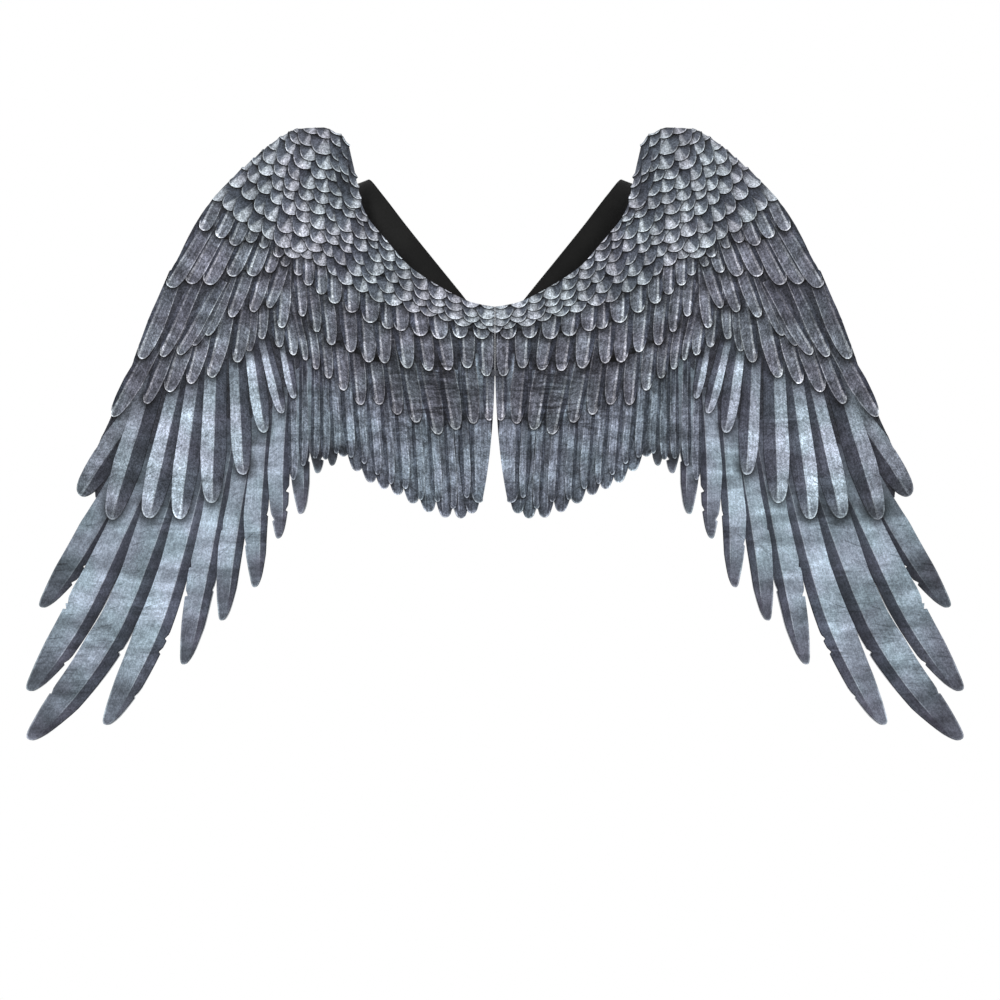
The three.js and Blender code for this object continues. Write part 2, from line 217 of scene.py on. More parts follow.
def distance_to_line(points, line):
    """Distance from each point to a line of straight runs."""
    starts = line[:-1]
    runs = line[1:] - starts
    squares = np.maximum((runs**2).sum(1), 1e-12)
    offsets = points[:, None] - starts[None]
    shares = np.clip((offsets * runs).sum(2) / squares, 0, 1)
    return np.sqrt(((offsets - shares[..., None] * runs) ** 2).sum(2).min(1))


EDGE_STATIONS = place(LEADING_EDGE + NECKLINE)
EDGE_RUNS = (len(EDGE_STATIONS) - 1) * 4
EDGE_LINE = spline(EDGE_STATIONS, np.linspace(0, 1, EDGE_RUNS + 1))


def from_crease(out, up, middle_out, middle_up, turn):
    """Distances along a crease and beside it."""
    angle = math.radians(turn)
    along = (out - middle_out) * math.cos(angle) + (up - middle_up) * math.sin(angle)
    beside = (up - middle_up) * math.cos(angle) - (out - middle_out) * math.sin(angle)
    return along, beside


def crease_height(out, up):
    """How far the creases stand away from the wearer."""
    height = np.zeros_like(out)
    for middle_out, middle_up, length, half_width, turn, rise in CREASES:
        along, beside = from_crease(out, up, middle_out, middle_up, turn)
        bent = beside + CREASE_BEND * along**2
        spread = -((along / (CREASE_SPREAD * length)) ** 2) - (bent / half_width) ** 2
        height += rise * np.exp(spread)
    return height


def wrinkle_shade_strength(out, up):
    """How strongly the painted shade and painted highlight of fine level wrinkles show:
    1 on the deepest level crease and 0 away from the creases."""
    strength = np.zeros_like(out)
    for middle_out, middle_up, length, half_width, turn, rise in CREASES:
        if abs(turn) > STEEPEST_WRINKLE_SHADED:
            continue
        along, beside = from_crease(out, up, middle_out, middle_up, turn)
        spread = (along / (WRINKLE_SHADE_ALONG * length)) ** 2
        spread = spread + (beside / (WRINKLE_SHADE_BESIDE * half_width)) ** 2
        strength = np.maximum(strength, min(rise / WRINKLE_SHADE_RISE, 1) * np.exp(-spread))
    return strength


def depth(out, up):
    """How far forward the inner face of the worn cloth lies, in mm."""
    out_share, up_share = out / WING_REACH, up / WING_HEIGHT
    blade_out = out - BLADE_OUT * WING_REACH
    blade_up = BLADE_STRETCH * (up - BLADE_UP * WING_HEIGHT)
    from_blade = np.hypot(blade_out, blade_up) / (BLADE_REACH * WING_REACH)
    bulge = -BLADE_BULGE * np.exp(-(from_blade**2))
    sweep = OUTER_SWEEP * np.clip((out_share - SWEEP_FROM) / SWEEP_RUN, 0, 1) ** SWEEP_POWER
    lean = SHOULDER_LEAN * np.clip((up_share - LEAN_FROM) / LEAN_RUN, 0, 1) ** 2
    shoulder = smooth((up_share - SHOULDER_FROM) / SHOULDER_RUN)
    wrist = WRIST_ROLL * smooth((out_share - WRIST_FROM) / WRIST_RUN)
    points = np.stack([out, up], 1)
    in_roll = np.clip(1 - distance_to_line(points, EDGE_LINE) / ROLL_WIDTH, 0, 1)
    roll = EDGE_ROLL * np.maximum(shoulder, wrist) * in_roll**2
    hanging = smooth((-up / WING_HEIGHT - HANGING_FROM) / HANGING_RUN)
    wave = HEM_WAVE * hanging * np.sin(2 * np.pi * out / WAVE_PITCH + WAVE_START)
    return bulge + sweep + lean + roll + wave


def inward(out, up):
    """Unit normals of the inner face, towards the wearer. The wings meet square."""
    step = 0.5
    meet = smooth(out / (0.05 * WING_REACH))
    slope_out = meet * (depth(out + step, up) - depth(out - step, up)) / (2 * step)
    slope_up = (depth(out, up + step) - depth(out, up - step)) / (2 * step)
    normal = np.stack([-slope_out, np.ones_like(out), -slope_up], 1)
    return normal / np.linalg.norm(normal, axis=1)[:, None]


def worn(out, up, height):
    """Places of points on the worn cloth, in metres, height mm off its inner face."""
    base = np.stack([out, depth(out, up) - crease_height(out, up), up], 1)
    return (base - inward(out, up) * np.asarray(height)[:, None]) * MM


# The printed and embossed feathers
# The cloth is printed with overlapping feathers and die-cut along the lowest ones. Small
# scales cover the top, then come rows of coverts, the long greater coverts, the hanging
# hem feathers and the flight feathers. Each feather lies on the ones below it.

# Outline of a tip. Columns: distance back from the tip, in feather widths; reach of the
# outer and of the inner vane, as shares of the width.
TAPERED_TIP = [(0.10, 0.20, 0.20), (0.80, 0.40, 0.40), (2.60, 0.56, 0.56)]
SABRE_TIP = [
    (0.06, 0.08, 0.14),
    (0.45, 0.18, 0.31),
    (1.40, 0.34, 0.47),
    (3.00, 0.46, 0.52),
    (5.00, 0.36, 0.51),
]
FINGER_TIP = [(0.08, 0.20, 0.18), (0.35, 0.34, 0.32), (1.00, 0.45, 0.44), (2.00, 0.52, 0.52)]
SCALE_TIP = [(0.04, 0.21, 0.21), (0.16, 0.38, 0.38), (0.34, 0.48, 0.48), (0.55, 0.52, 0.52)]
THUMB_TIP = [(0.05, 0.20, 0.20), (0.20, 0.37, 0.37), (0.50, 0.47, 0.47), (1.10, 0.52, 0.52)]
ROOT_REACH = 0.42

# Flight feathers, outermost first, each on a bent shaft.
# Columns: out and up of the root, of the bend and of the tip, as shares; width, as a
# share of the reach.
FLIGHT_FEATHERS = [
    (0.745, -0.215, 0.862, -0.370, 0.966, -0.488, 0.066),
    (0.715, -0.225, 0.869, -0.476, 0.994, -0.625, 0.080),
    (0.655, -0.190, 0.803, -0.510, 0.994, -0.705, 0.085),
    (0.600, -0.180, 0.712, -0.495, 0.828, -0.680, 0.074),
    (0.556, -0.180, 0.617, -0.425, 0.661, -0.581, 0.064),
    (0.515, -0.180, 0.556, -0.380, 0.576, -0.509, 0.053),
    (0.488, -0.165, 0.505, -0.330, 0.508, -0.455, 0.052),
    (0.446, -0.130, 0.457, -0.260, 0.458, -0.376, 0.049),
    (0.410, -0.100, 0.413, -0.230, 0.409, -0.336, 0.046),
    (0.380, -0.085, 0.379, -0.190, 0.373, -0.270, 0.043),
    (0.348, -0.085, 0.348, -0.190, 0.343, -0.258, 0.042),
]

# Tones of the flight feathers, outermost first: 1 as printed and less for darker.
FLIGHT_TONES = [0.54, 0.80, 0.80, 1.10, 0.98, 0.90, 0.96, 0.92, 0.90, 0.60, 0.62]

# Rows of hanging feathers, lowest first. tip is the outline of the tips and layer the
# row's height in steps. edge_from is the station of the leading edge where the cloth above
# the row begins, or None for a row that adds no cloth of its own, and middle is how far
# down its shafts that cloth reaches, if not CLOTH_SHARE. Beyond turn_out, in mm, each
# feather lies on the next one inwards. lengths gives the length at places out from the
# seam, in mm. Columns of tips, in mm: out and up; lean in degrees, outwards; width; tone,
# 1 as printed and less for darker.
CLOTH_SHARE = 0.45
HANGING_ROWS = [
    {
        "print": "hem",
        "tip": TAPERED_TIP,
        "layer": 0,
        "edge_from": 0,
        "turn_out": 500,
        "middle": 0.56,
        "lengths": [(0, 150), (150, 140)],
        "tips": [
            (150.1, -149.0, -4.0, 19.8, 0.9),
            (136.9, -163.4, -4.5, 20.3, 1.0),
            (123.2, -174.7, -5.0, 20.8, 0.96),
            (109.6, -181.1, -5.0, 20.8, 1.04),
            (95.8, -187.0, -5.0, 20.8, 0.94),
            (80.6, -195.5, -4.5, 21.2, 1.0),
            (65.1, -204.1, -4.0, 21.7, 1.05),
            (49.3, -209.5, -3.0, 21.2, 0.95),
            (34.0, -210.3, -2.0, 20.8, 1.0),
            (22.9, -205.4, -1.5, 22.7, 0.94),
            (16.0, -194.9, -1.0, 24.5, 1.12),
        ],
    },
    {
        "print": "hem",
        "tip": TAPERED_TIP,
        "layer": 0,
        "edge_from": None,
        "turn_out": 500,
        "lengths": [(0, 146), (150, 130), (200, 122)],
        "tips": [
            (200.0, -172.0, -1.0, 9.0, 0.90),
            (190.0, -158.0, 0.0, 9.0, 0.74),
            (178.0, -151.0, 0.0, 8.5, 0.86),
            (168.0, -152.0, -1.0, 9.0, 0.72),
            (157.0, -146.0, -3.0, 8.5, 0.88),
            (143.0, -150.0, -4.0, 9.5, 0.95),
            (130.0, -156.0, -5.0, 9.0, 0.86),
            (116.5, -167.0, -5.0, 10.0, 0.98),
            (102.5, -176.0, -5.0, 9.0, 0.88),
            (88.0, -181.0, -5.0, 10.5, 1.02),
            (73.0, -192.0, -4.0, 9.5, 0.86),
            (57.0, -194.0, -4.0, 10.5, 1.0),
            (42.0, -201.0, -3.0, 9.5, 0.9),
            (28.5, -190.0, -2.0, 9.0, 0.84),
        ],
    },
    {
        "print": "greater",
        "tip": FINGER_TIP,
        "layer": 1,
        "edge_from": 1,
        "turn_out": 500,
        "lengths": [(199, 80), (250, 128), (315, 160), (383, 150), (416, 123)],
        "tips": [
            (416.3, -187.6, 36, 30, 0.48),
            (383.0, -211.5, 17, 29, 0.60),
            (345.5, -210.0, 13.5, 26, 1.0),
            (315.0, -211.0, 8, 26, 1.10),
            (281.0, -195.0, 1.5, 26, 1.0),
            (250.0, -167.0, -3, 20, 1.0),
            (229.0, -125.0, -8, 18, 1.06),
            (211.0, -105.6, -14, 14, 1.0),
            (199.0, -91.0, -11, 11, 1.0),
        ],
    },
    {
        "print": "covert",
        "tip": FINGER_TIP,
        "layer": 2,
        "edge_from": 2,
        "turn_out": 205,
        "lengths": [(0, 72), (190, 78), (240, 90), (382, 104)],
        "tips": [
            (382.0, -108.5, 30, 20, 0.82),
            (347.6, -95.8, 22, 15, 0.78),
            (325.0, -84.0, 17, 20, 0.96),
            (303.0, -76.0, 14, 17, 1.04),
            (282.0, -70.0, 13, 18, 1.0),
            (256.0, -55.0, 8, 16, 0.9),
            (244.0, -44.0, 4, 12, 0.84),
            (231.0, -32.0, 0, 12, 1.0),
            (213.0, -40.0, -6, 13, 0.86),
            (199.0, -48.0, -8, 12, 1.0),
            (187.0, -53.0, -12, 8, 0.94),
            (176.5, -62.0, -8, 10, 0.92),
            (164.0, -71.0, -7, 12, 0.9),
            (149.5, -83.0, -6, 14, 0.9),
            (133.0, -97.5, -5, 15, 0.82),
            (114.0, -97.0, -8, 16, 0.8),
            (96.0, -107.0, -8, 16, 0.74),
            (77.0, -115.0, -10, 17, 0.7),
            (55.5, -127.0, -12, 18, 0.72),
            (38.0, -122.0, -10, 18, 0.74),
            (21.0, -116.0, -5, 16, 0.78),
            (5.5, -113.0, 0, 13, 0.9),
        ],
    },
    {
        "print": "covert",
        "tip": FINGER_TIP,
        "layer": 3,
        "edge_from": 3,
        "turn_out": 205,
        "lengths": [(0, 66), (190, 68), (300, 84), (352, 92)],
        "tips": [
            (352.5, -51.0, 22, 19, 0.78),
            (331.0, -49.0, 24.5, 15, 0.86),
            (314.6, -47.0, 30, 15, 0.96),
            (300.0, -38.0, 26, 13, 0.84),
            (286.4, -28.0, 21, 16, 1.0),
            (262.0, -10.0, 19, 15, 0.96),
            (240.0, -5.0, 15, 15, 0.92),
            (224.0, -1.0, 18, 13, 0.92),
            (211.0, -21.0, 3, 14, 1.04),
            (190.0, -9.5, -5, 12, 0.96),
            (175.5, -25.0, -7, 12, 1.0),
            (161.0, -38.0, -7, 14, 0.94),
            (142.0, -45.0, -6, 16, 1.0),
            (124.5, -55.0, -4, 19, 0.94),
            (109.0, -56.0, -4, 16, 0.9),
            (86.0, -61.0, -8, 19, 0.96),
            (65.0, -63.5, -10, 17, 0.82),
            (45.6, -63.0, -12, 17, 0.86),
            (27.0, -61.0, -3, 17, 0.84),
            (8.0, -69.0, -3, 16, 0.96),
        ],
    },
    {
        "print": "covert",
        "tip": THUMB_TIP,
        "layer": 4,
        "edge_from": 4,
        "turn_out": 205,
        "lengths": [(0, 26), (60, 40), (250, 50), (290, 62), (324, 84)],
        "tips": [
            (324.0, 20.6, 32, 18, 0.90),
            (304.0, 24.0, 30, 16, 1.0),
            (286.0, 23.0, 27, 17, 1.04),
            (262.5, 31.0, 25, 16, 1.06),
            (242.0, 31.0, 20, 16, 1.04),
            (224.0, 34.0, 14, 12, 0.9),
            (208.0, 40.0, 6, 11, 0.9),
            (194.0, 31.0, 0, 11, 1.0),
            (184.0, 21.0, -3, 11, 1.0),
            (171.0, 12.0, -3, 12, 1.04),
            (158.0, 3.0, -2, 14, 1.0),
            (141.0, -6.0, -2, 15, 1.06),
            (123.0, -16.0, -2, 18, 1.04),
            (105.6, -22.0, 0, 15, 1.0),
            (92.6, -24.0, -5, 16, 1.0),
            (73.0, -29.0, -8, 18, 1.06),
            (54.0, -32.0, -8, 18, 1.0),
            (34.0, -31.0, -5, 17, 1.04),
            (13.0, -32.0, 0, 19, 1.06),
        ],
    },
    {
        "print": "covert",
        "tip": THUMB_TIP,
        "layer": 4,
        "edge_from": None,
        "turn_out": 205,
        "lengths": [(0, 30), (290, 34)],
        "tips": [
            (290.2, 76.5, 26, 14, 0.9),
            (274.4, 69.2, 26, 14, 1.0),
            (260.0, 61.4, 22, 15, 1.0),
            (243.5, 64.0, 16, 13, 1.0),
            (230.2, 58.3, 12, 11, 1.0),
            (215.0, 49.2, 6, 13, 1.0),
            (200.0, 49.0, 4, 12, 0.94),
        ],
    },
]

# Guide lines of the scales' rows, lowest first, from the leading edge to the seam or the
# neckline. Columns: out and up, in mm. A row stands at every ROW_PITCH between them.
SCALE_ROWS = [
    [
        *((306, 96), (290, 76), (260, 62), (229, 57), (206, 50)),
        *((173, 44), (140, 21), (103, 3), (58, -12), (-10, -27)),
    ],
    [(286, 112), (255, 91), (222, 67), (191, 56), (155, 48), (122, 26), (81, 7), (40, -11), (-10, -19)],
    [(266, 134), (241, 108), (210, 82), (177, 68), (141, 56), (107, 32), (57, 5), (21, -8), (-10, -10)],
    [(252, 150), (227, 118), (193, 92), (166, 80), (129, 60), (90, 33), (50, 9), (-10, -2)],
    [(243, 160), (222, 132), (194, 105), (157, 93), (134, 76), (95, 47), (50, 18)],
    [(229, 168), (210, 138), (183, 113), (153, 108), (127, 82), (96, 56)],
    [(214, 170), (203, 152), (187, 129), (158, 121), (133, 93), (114, 74)],
    [(202, 174), (186, 146), (170, 137), (158, 135), (143, 123), (124, 94)],
    [(197, 180), (180, 156), (163, 151), (150, 140), (130, 110)],
    [(192, 186), (176, 171), (160, 166), (146, 154), (132, 132)],
    [(186, 194), (170, 183), (150, 174), (134, 154)],
]
ROW_PITCH = 0.88
SCALE_PITCH = 17.0
SCALE_LENGTH = 32.0

# Lean of the scales. Columns: out, in mm; lean in degrees, outwards.
SCALE_LEAN = [(0, -2), (60, -8), (110, -14), (145, -12), (172, 0), (205, 10), (240, 24), (280, 34)]

# Width of the scales towards the outer edge. Columns: out, in mm; share of the width.
SCALE_SHARE = [(205, 1.0), (240, 0.92), (290, 0.86)]

# Beyond this, in mm, the thumbs of the last hanging row stand for the lowest scales.
THUMBS_FROM = 211.0

chance = random.Random(11)


def arc_lengths(line):
    """Distance along a line to each of its points."""
    runs = np.linalg.norm(np.diff(line, axis=0), axis=1)
    return np.concatenate([[0.0], np.cumsum(runs)])


def along_line(line, distances):
    """Points and headings of a line at distances from its start."""
    run = arc_lengths(line)
    points = np.stack([np.interp(distances, run, line[:, i]) for i in (0, 1)], 1)
    ahead = np.minimum(distances + 0.5, run[-1])
    behind = np.maximum(distances - 0.5, 0)
    headings = np.stack(
        [np.interp(ahead, run, line[:, i]) - np.interp(behind, run, line[:, i]) for i in (0, 1)], 1
    )
    return points, headings / np.linalg.norm(headings, axis=1)[:, None]


def feather_outline(shaft, width, tip, notches):
    """Outline of a feather: down the outer vane, round the tip and back. notches are
    nicks in the vanes: side, distance back from the tip and depth, in mm."""
    length = arc_lengths(shaft)[-1]
    known = [0.0] + [math.sqrt(back) for back, _, _ in tip] + [math.sqrt(max(length / width, 4.0))]
    reaches = [[0.0] + [row[i] for row in tip] + [ROOT_REACH] for i in (1, 2)]
    near_tip = width * np.array([0.0, 0.015, 0.06, 0.14, 0.26, 0.42, 0.62, 0.85, 1.15])
    beyond = np.arange(1.15 * width + 5.0, length, 5.5)
    sides = []
    for side, reach in enumerate(reaches):
        back = np.concatenate([near_tip[near_tip < length], beyond, [length]])
        cut = np.zeros_like(back)
        for notch_side, at, deep in notches:
            if notch_side == side:
                keep = (back < at - 1.5) | (back > at + 6.0)
                back = np.concatenate([back[keep], [at - 1.4, at, at + 5.0]])
                cut = np.concatenate([cut[keep], [0.0, deep, 0.3]])
        order = np.argsort(back)
        back, cut = back[order], cut[order]
        spread = np.interp(np.sqrt(back / width), known, reach) * width - cut
        points, headings = along_line(shaft, length - back)
        outwards = np.stack([-headings[:, 1], headings[:, 0]], 1) * (1 if side == 0 else -1)
        sides.append(points + outwards * spread[:, None])
    return np.concatenate([sides[0][::-1], sides[1][1:]])


def feather(shaft, width, tip, print_name, layer, tone, notches=()):
    """One printed feather: its shaft, outline, print and place in the stack."""
    return {
        "shaft": np.asarray(shaft, float),
        "width": width,
        "outline": feather_outline(np.asarray(shaft, float), width, tip, notches),
        "print": print_name,
        "layer": layer,
        "tone": tone,
        "chance": chance.random(),
    }


def straight_feather(tip_point, lean, width, length, tip, print_name, layer, tone):
    """A feather on a straight shaft that ends at tip_point."""
    angle = math.radians(lean)
    root = (tip_point[0] - length * math.sin(angle), tip_point[1] + length * math.cos(angle))
    return feather([root, tip_point], width, tip, print_name, layer, tone)


def flight_row():
    """The flight feathers, the outermost lowest, with nicks in their vanes."""
    feathers = []
    for *stations, width in FLIGHT_FEATHERS:
        stops = place(np.reshape(stations, (3, 2)))
        shaft = spline(stops, np.linspace(0, 1, 41))
        length = arc_lengths(shaft)[-1]
        notches = []
        for _ in range(3 if length > 150 else 1):
            side = chance.choice([0, 1, 1, 1])
            at = chance.uniform(0.12, 0.5) * length
            notches.append((side, at, chance.uniform(1.2, 3.2)))
        tone = FLIGHT_TONES[len(feathers)]
        feathers.append(feather(shaft, width * WING_REACH, SABRE_TIP, "flight", 0, tone, notches))
    return feathers


def hanging_row(row):
    """One row of hanging feathers. The outermost lies lowest, but beyond turn_out, in mm,
    each lies on the next one inwards."""
    outer = [tip for tip in row["tips"] if tip[0] > row["turn_out"]]
    inner = [tip for tip in row["tips"] if tip[0] <= row["turn_out"]]
    feathers = []
    for out, up, lean, width, tone in outer[::-1] + inner:
        length = np.interp(out, *zip(*row["lengths"]))
        looks = (row["tip"], row["print"], row["layer"], tone)
        feathers.append(straight_feather((out, up), lean, width, length, *looks))
    return feathers


def scale_row(level, number):
    """One row of scales, each half a step from those in the row below. The lowest row stops
    at THUMBS_FROM."""
    low = min(int(level), len(SCALE_ROWS) - 2)
    guides = [spline(np.array(SCALE_ROWS[i], float), np.linspace(0, 1, 81)) for i in (low, low + 1)]
    line = guides[0] + (level - low) * (guides[1] - guides[0])
    length = arc_lengths(line)[-1]
    distances = np.arange((number % 2) * SCALE_PITCH / 2, length, SCALE_PITCH)
    points, _ = along_line(line, distances)
    feathers = []
    for point in points:
        if number == 0 and point[0] > THUMBS_FROM:
            continue
        point = point + [chance.uniform(-1.8, 1.8), chance.uniform(-2.0, 2.0)]
        lean = np.interp(point[0], *zip(*SCALE_LEAN)) + chance.uniform(-7, 7)
        width = SCALE_PITCH * chance.uniform(1.04, 1.38) * np.interp(point[0], *zip(*SCALE_SHARE))
        tone = chance.uniform(0.86, 1.1)
        feathers.append(
            straight_feather(point, lean, width, SCALE_LENGTH, SCALE_TIP, "scale", 4, tone)
        )
    return feathers


def cloth_above(members, edge_from, share):
    """The cloth above a row: from a share of its shafts, counted from the root, up to the
    leading edge and the seam."""
    middles = sorted(tuple(spline(item["shaft"], [share])[0]) for item in members)
    return np.concatenate([EDGE_LINE[4 * edge_from :], [(0.0, middles[0][1])], middles])


feathers = flight_row()
cloth_regions = [cloth_above(feathers, 0, CLOTH_SHARE)]
for row in HANGING_ROWS:
    members = hanging_row(row)
    feathers += members
    if row["edge_from"] is not None:
        share = row.get("middle", CLOTH_SHARE)
        cloth_regions.append(cloth_above(members, row["edge_from"], share))
first_scale = len(feathers)
for number, level in enumerate(np.arange(0.0, len(SCALE_ROWS) - 0.99, ROW_PITCH)):
    feathers += scale_row(level, number)

# The slit and the seam allowance, cut away from the inner edge.
slit_foot = -SEAM_LENGTH - SLIT_LENGTH
slit_share = np.linspace(0, 1, 13)[:, None]
slit_bend = np.array([0.15 * SLIT_SPREAD, -SEAM_LENGTH - 0.6 * SLIT_LENGTH])
SLIT = (
    (1 - slit_share) ** 2 * np.array([SEAM_GAP / 2, -SEAM_LENGTH])
    + 2 * slit_share * (1 - slit_share) * slit_bend
    + slit_share**2 * np.array([SLIT_SPREAD, slit_foot])
)
INNER_EDGE = np.concatenate(
    [
        [(SEAM_GAP / 2, 20.0)],
        [(SEAM_GAP / 2, up) for up in np.arange(-4, -SEAM_LENGTH, -6.0)],
        SLIT,
        [(SLIT_SPREAD, slit_foot - 60.0)],
    ]
)
INNER_CUT = np.concatenate([INNER_EDGE, [(-60.0, slit_foot - 60.0), (-60.0, 20.0)]])


def inside(points, outline):
    """Whether each point lies inside a closed outline."""
    x, y = points[:, 0][:, None], points[:, 1][:, None]
    x0, y0 = outline[:, 0][None], outline[:, 1][None]
    x1, y1 = np.roll(outline[:, 0], -1)[None], np.roll(outline[:, 1], -1)[None]
    crosses = (y0 > y) != (y1 > y)
    rise = np.where(y1 == y0, 1e-12, y1 - y0)
    left = x < x0 + (y - y0) * (x1 - x0) / rise
    return (crosses & left).sum(1) % 2 == 1


def outline_distance(points, outline):
    """Distance to a closed outline, below 0 inside it. Far points get a large value."""
    far = 14.0
    low, high = outline.min(0) - far, outline.max(0) + far
    near = np.flatnonzero(((points > low) & (points < high)).all(1))
    distances = np.full(len(points), 1e3)
    if len(near):
        closed = np.concatenate([outline, outline[:1]])
        gap = distance_to_line(points[near], closed)
        distances[near] = np.where(inside(points[near], outline), -gap, gap)
    return distances


def ring(outline, gap):
    """The outline moved outwards by gap."""
    before = outline - np.roll(outline, 1, 0)
    after = np.roll(outline, -1, 0) - outline
    before /= np.maximum(np.linalg.norm(before, axis=1), 1e-9)[:, None]
    after /= np.maximum(np.linalg.norm(after, axis=1), 1e-9)[:, None]
    run = before + after
    run /= np.maximum(np.linalg.norm(run, axis=1), 1e-9)[:, None]
    following = np.roll(outline, -1, 0)
    area = (outline[:, 0] * following[:, 1] - following[:, 0] * outline[:, 1]).sum()
    turn = 1 if area > 0 else -1
    return outline + gap * turn * np.stack([run[:, 1], -run[:, 0]], 1)


# Triangles of the flat panel
# The outlines, a ring just inside and just outside each, and a grid between them are
# joined to one sheet of triangles.

GRID = 4.2
STEP_RUN = 0.6
INSET = 1.5

# Lines deeper than this under a feather, and ring points nearer than this to one above,
# are left out, and so are grid points nearer than this to a line. Millimetres.
HIDDEN_DEPTH = 0.4
BURIED_GAP = 0.5
GRID_CLEARANCE = 2.0

corner_points, corner_edges = [], []


def add_line(points, closed, kept):
    """Adds a line's points and the edges between them that are kept."""
    ids = {}
    count = len(points)
    for i in range(count if closed else count - 1):
        if kept[i]:
            pair = []
            for j in (i, (i + 1) % count):
                if j not in ids:
                    ids[j] = len(corner_points)
                    corner_points.append(tuple(points[j]))
                pair.append(ids[j])
            corner_edges.append(tuple(pair))


add_line(EDGE_LINE, False, [True] * len(EDGE_LINE))
add_line(INNER_EDGE, False, [True] * len(INNER_EDGE))
ring_points = []
for index, item in enumerate(feathers):
    outline = item["outline"]
    middles = (outline + np.roll(outline, -1, 0)) / 2
    hidden = np.zeros(len(middles), bool)
    rings = np.concatenate([ring(outline, STEP_RUN), ring(outline, -INSET)])
    buried = np.zeros(len(rings), bool)
    for above in feathers[index + 1 :]:
        box_low, box_high = above["outline"].min(0), above["outline"].max(0)
        if (outline.min(0) > box_high).any() or (outline.max(0) < box_low).any():
            continue
        hidden |= outline_distance(middles, above["outline"]) < -HIDDEN_DEPTH
        buried |= outline_distance(rings, above["outline"]) < BURIED_GAP
    add_line(outline, True, ~hidden)
    ring_points.append(rings[~buried])
ring_points = np.concatenate(ring_points)

outs = np.arange(0.0, WING_REACH, GRID)
ups = np.arange(-WING_HEIGHT * 0.72, WING_HEIGHT * 0.3, GRID * 0.866)
grid_points = np.array(
    [(out + GRID / 2 * (number % 2), up) for number, up in enumerate(ups) for out in outs]
)
nearest = np.full(len(grid_points), 1e3)
for item in feathers:
    nearest = np.minimum(nearest, np.abs(outline_distance(grid_points, item["outline"])))
for line in (EDGE_LINE, INNER_EDGE):
    nearest = np.minimum(nearest, distance_to_line(grid_points, line))
free_points = np.concatenate([ring_points, grid_points[nearest > GRID_CLEARANCE]])
corner_points += [tuple(point) for point in free_points]

flat_corners, _, flat_triangles, *_ = geometry.delaunay_2d_cdt(
    [Vector(point) for point in corner_points], corner_edges, [], 0, 1e-4
)
flat = np.array([tuple(corner) for corner in flat_corners])
triangles = np.array([list(face) for face in flat_triangles if len(face) == 3])
centres = flat[triangles].mean(1)

in_panel = np.zeros(len(centres), bool)
for region in cloth_regions:
    in_panel |= inside(centres, region)
owner = np.full(len(centres), -1)
top = np.full(len(flat), -1)
corner_distance = []
for index, item in enumerate(feathers):
    within = outline_distance(centres, item["outline"]) < 0
    owner[within] = index
    if index < first_scale:
        in_panel |= within
    distances = outline_distance(flat, item["outline"])
    top[distances < 0.04] = index
    corner_distance.append(distances)
in_panel &= ~inside(centres, INNER_CUT)
triangles, owner = triangles[in_panel], owner[in_panel]
used = np.unique(triangles)
renumber = np.full(len(flat), -1)
renumber[used] = np.arange(len(used))
triangles = renumber[triangles]
flat, top = flat[used], top[used]
corner_distance = [distances[used] for distances in corner_distance]
runs = flat[triangles[:, 1:]] - flat[triangles[:, :1]]
turned = runs[:, 0, 0] * runs[:, 1, 1] - runs[:, 0, 1] * runs[:, 1, 0] < 0
triangles[turned] = triangles[turned][:, ::-1]

# Height of the print's relief
# Each feather is embossed: crowned from side to side, thickest at its tip and thinner
# towards its root, where the next ones lie on it.

# Columns: height of the tip over the layer, mm; length over which it falls to the
# layer, in widths; crown, mm; height and half width of the quill's ridge, mm.
RELIEF = {
    "scale": (0.80, 0.9, 0.25, 0.10, 1.2),
    "covert": (0.80, 2.0, 0.20, 0.10, 1.2),
    "greater": (0.75, 3.5, 0.25, 0.30, 0.8),
    "hem": (0.40, 4.0, 0.16, 0.12, 0.8),
    "flight": (0.60, 3.5, 0.30, 0.30, 0.8),
}

# Where the quill runs, across the width: 0 is the middle and 1 the outer edge.
QUILL_AT = {"scale": 0.15, "covert": 0.30, "greater": -0.02, "hem": 0.10, "flight": -0.42}


def along_across(item, points):
    """Distance back from the tip and outwards from the shaft, for each point."""
    shaft = item["shaft"]
    runs = np.diff(shaft, axis=0)
    lengths = np.linalg.norm(runs, axis=1)
    headings = runs / lengths[:, None]
    offsets = points[:, None] - shaft[None, :-1]
    low = np.where(np.arange(len(runs)) == 0, -1e9, 0.0)
    high = np.where(np.arange(len(runs)) == len(runs) - 1, 1e9, lengths)
    held = np.clip((offsets * headings).sum(2), low, high)
    gaps = offsets - held[..., None] * headings
    best = np.argmin((gaps**2).sum(2), axis=1)
    rows = np.arange(len(points))
    gap, heading = gaps[rows, best], headings[best]
    back = lengths.sum() - (np.concatenate([[0], np.cumsum(lengths)])[best] + held[rows, best])
    return back, gap[:, 1] * heading[:, 0] - gap[:, 0] * heading[:, 1]


heights = np.full(len(flat), CLOTH_WALL + ROW_STEP * 4)
for index, item in enumerate(feathers):
    mine = np.flatnonzero(top == index)
    if not len(mine):
        continue
    rise, fall, crown, ridge, ridge_width = RELIEF[item["print"]]
    back, across = along_across(item, flat[mine])
    half = item["width"] / 2
    tile = rise * np.clip(1 - back / (fall * item["width"]), 0, 1)
    curve = crown * np.clip(1 - (across / half) ** 2, 0, 1) - crown * 0.5
    quill = across - QUILL_AT[item["print"]] * half
    line = ridge * np.exp(-((quill / ridge_width) ** 2))
    heights[mine] = CLOTH_WALL + ROW_STEP * item["layer"] + tile + curve + line
puckers = [noise.noise(Vector((out / 17, up / 17, 3.0))) for out, up in flat]
heights += 0.35 * np.array(puckers)
heights = np.maximum(heights, 1.2)

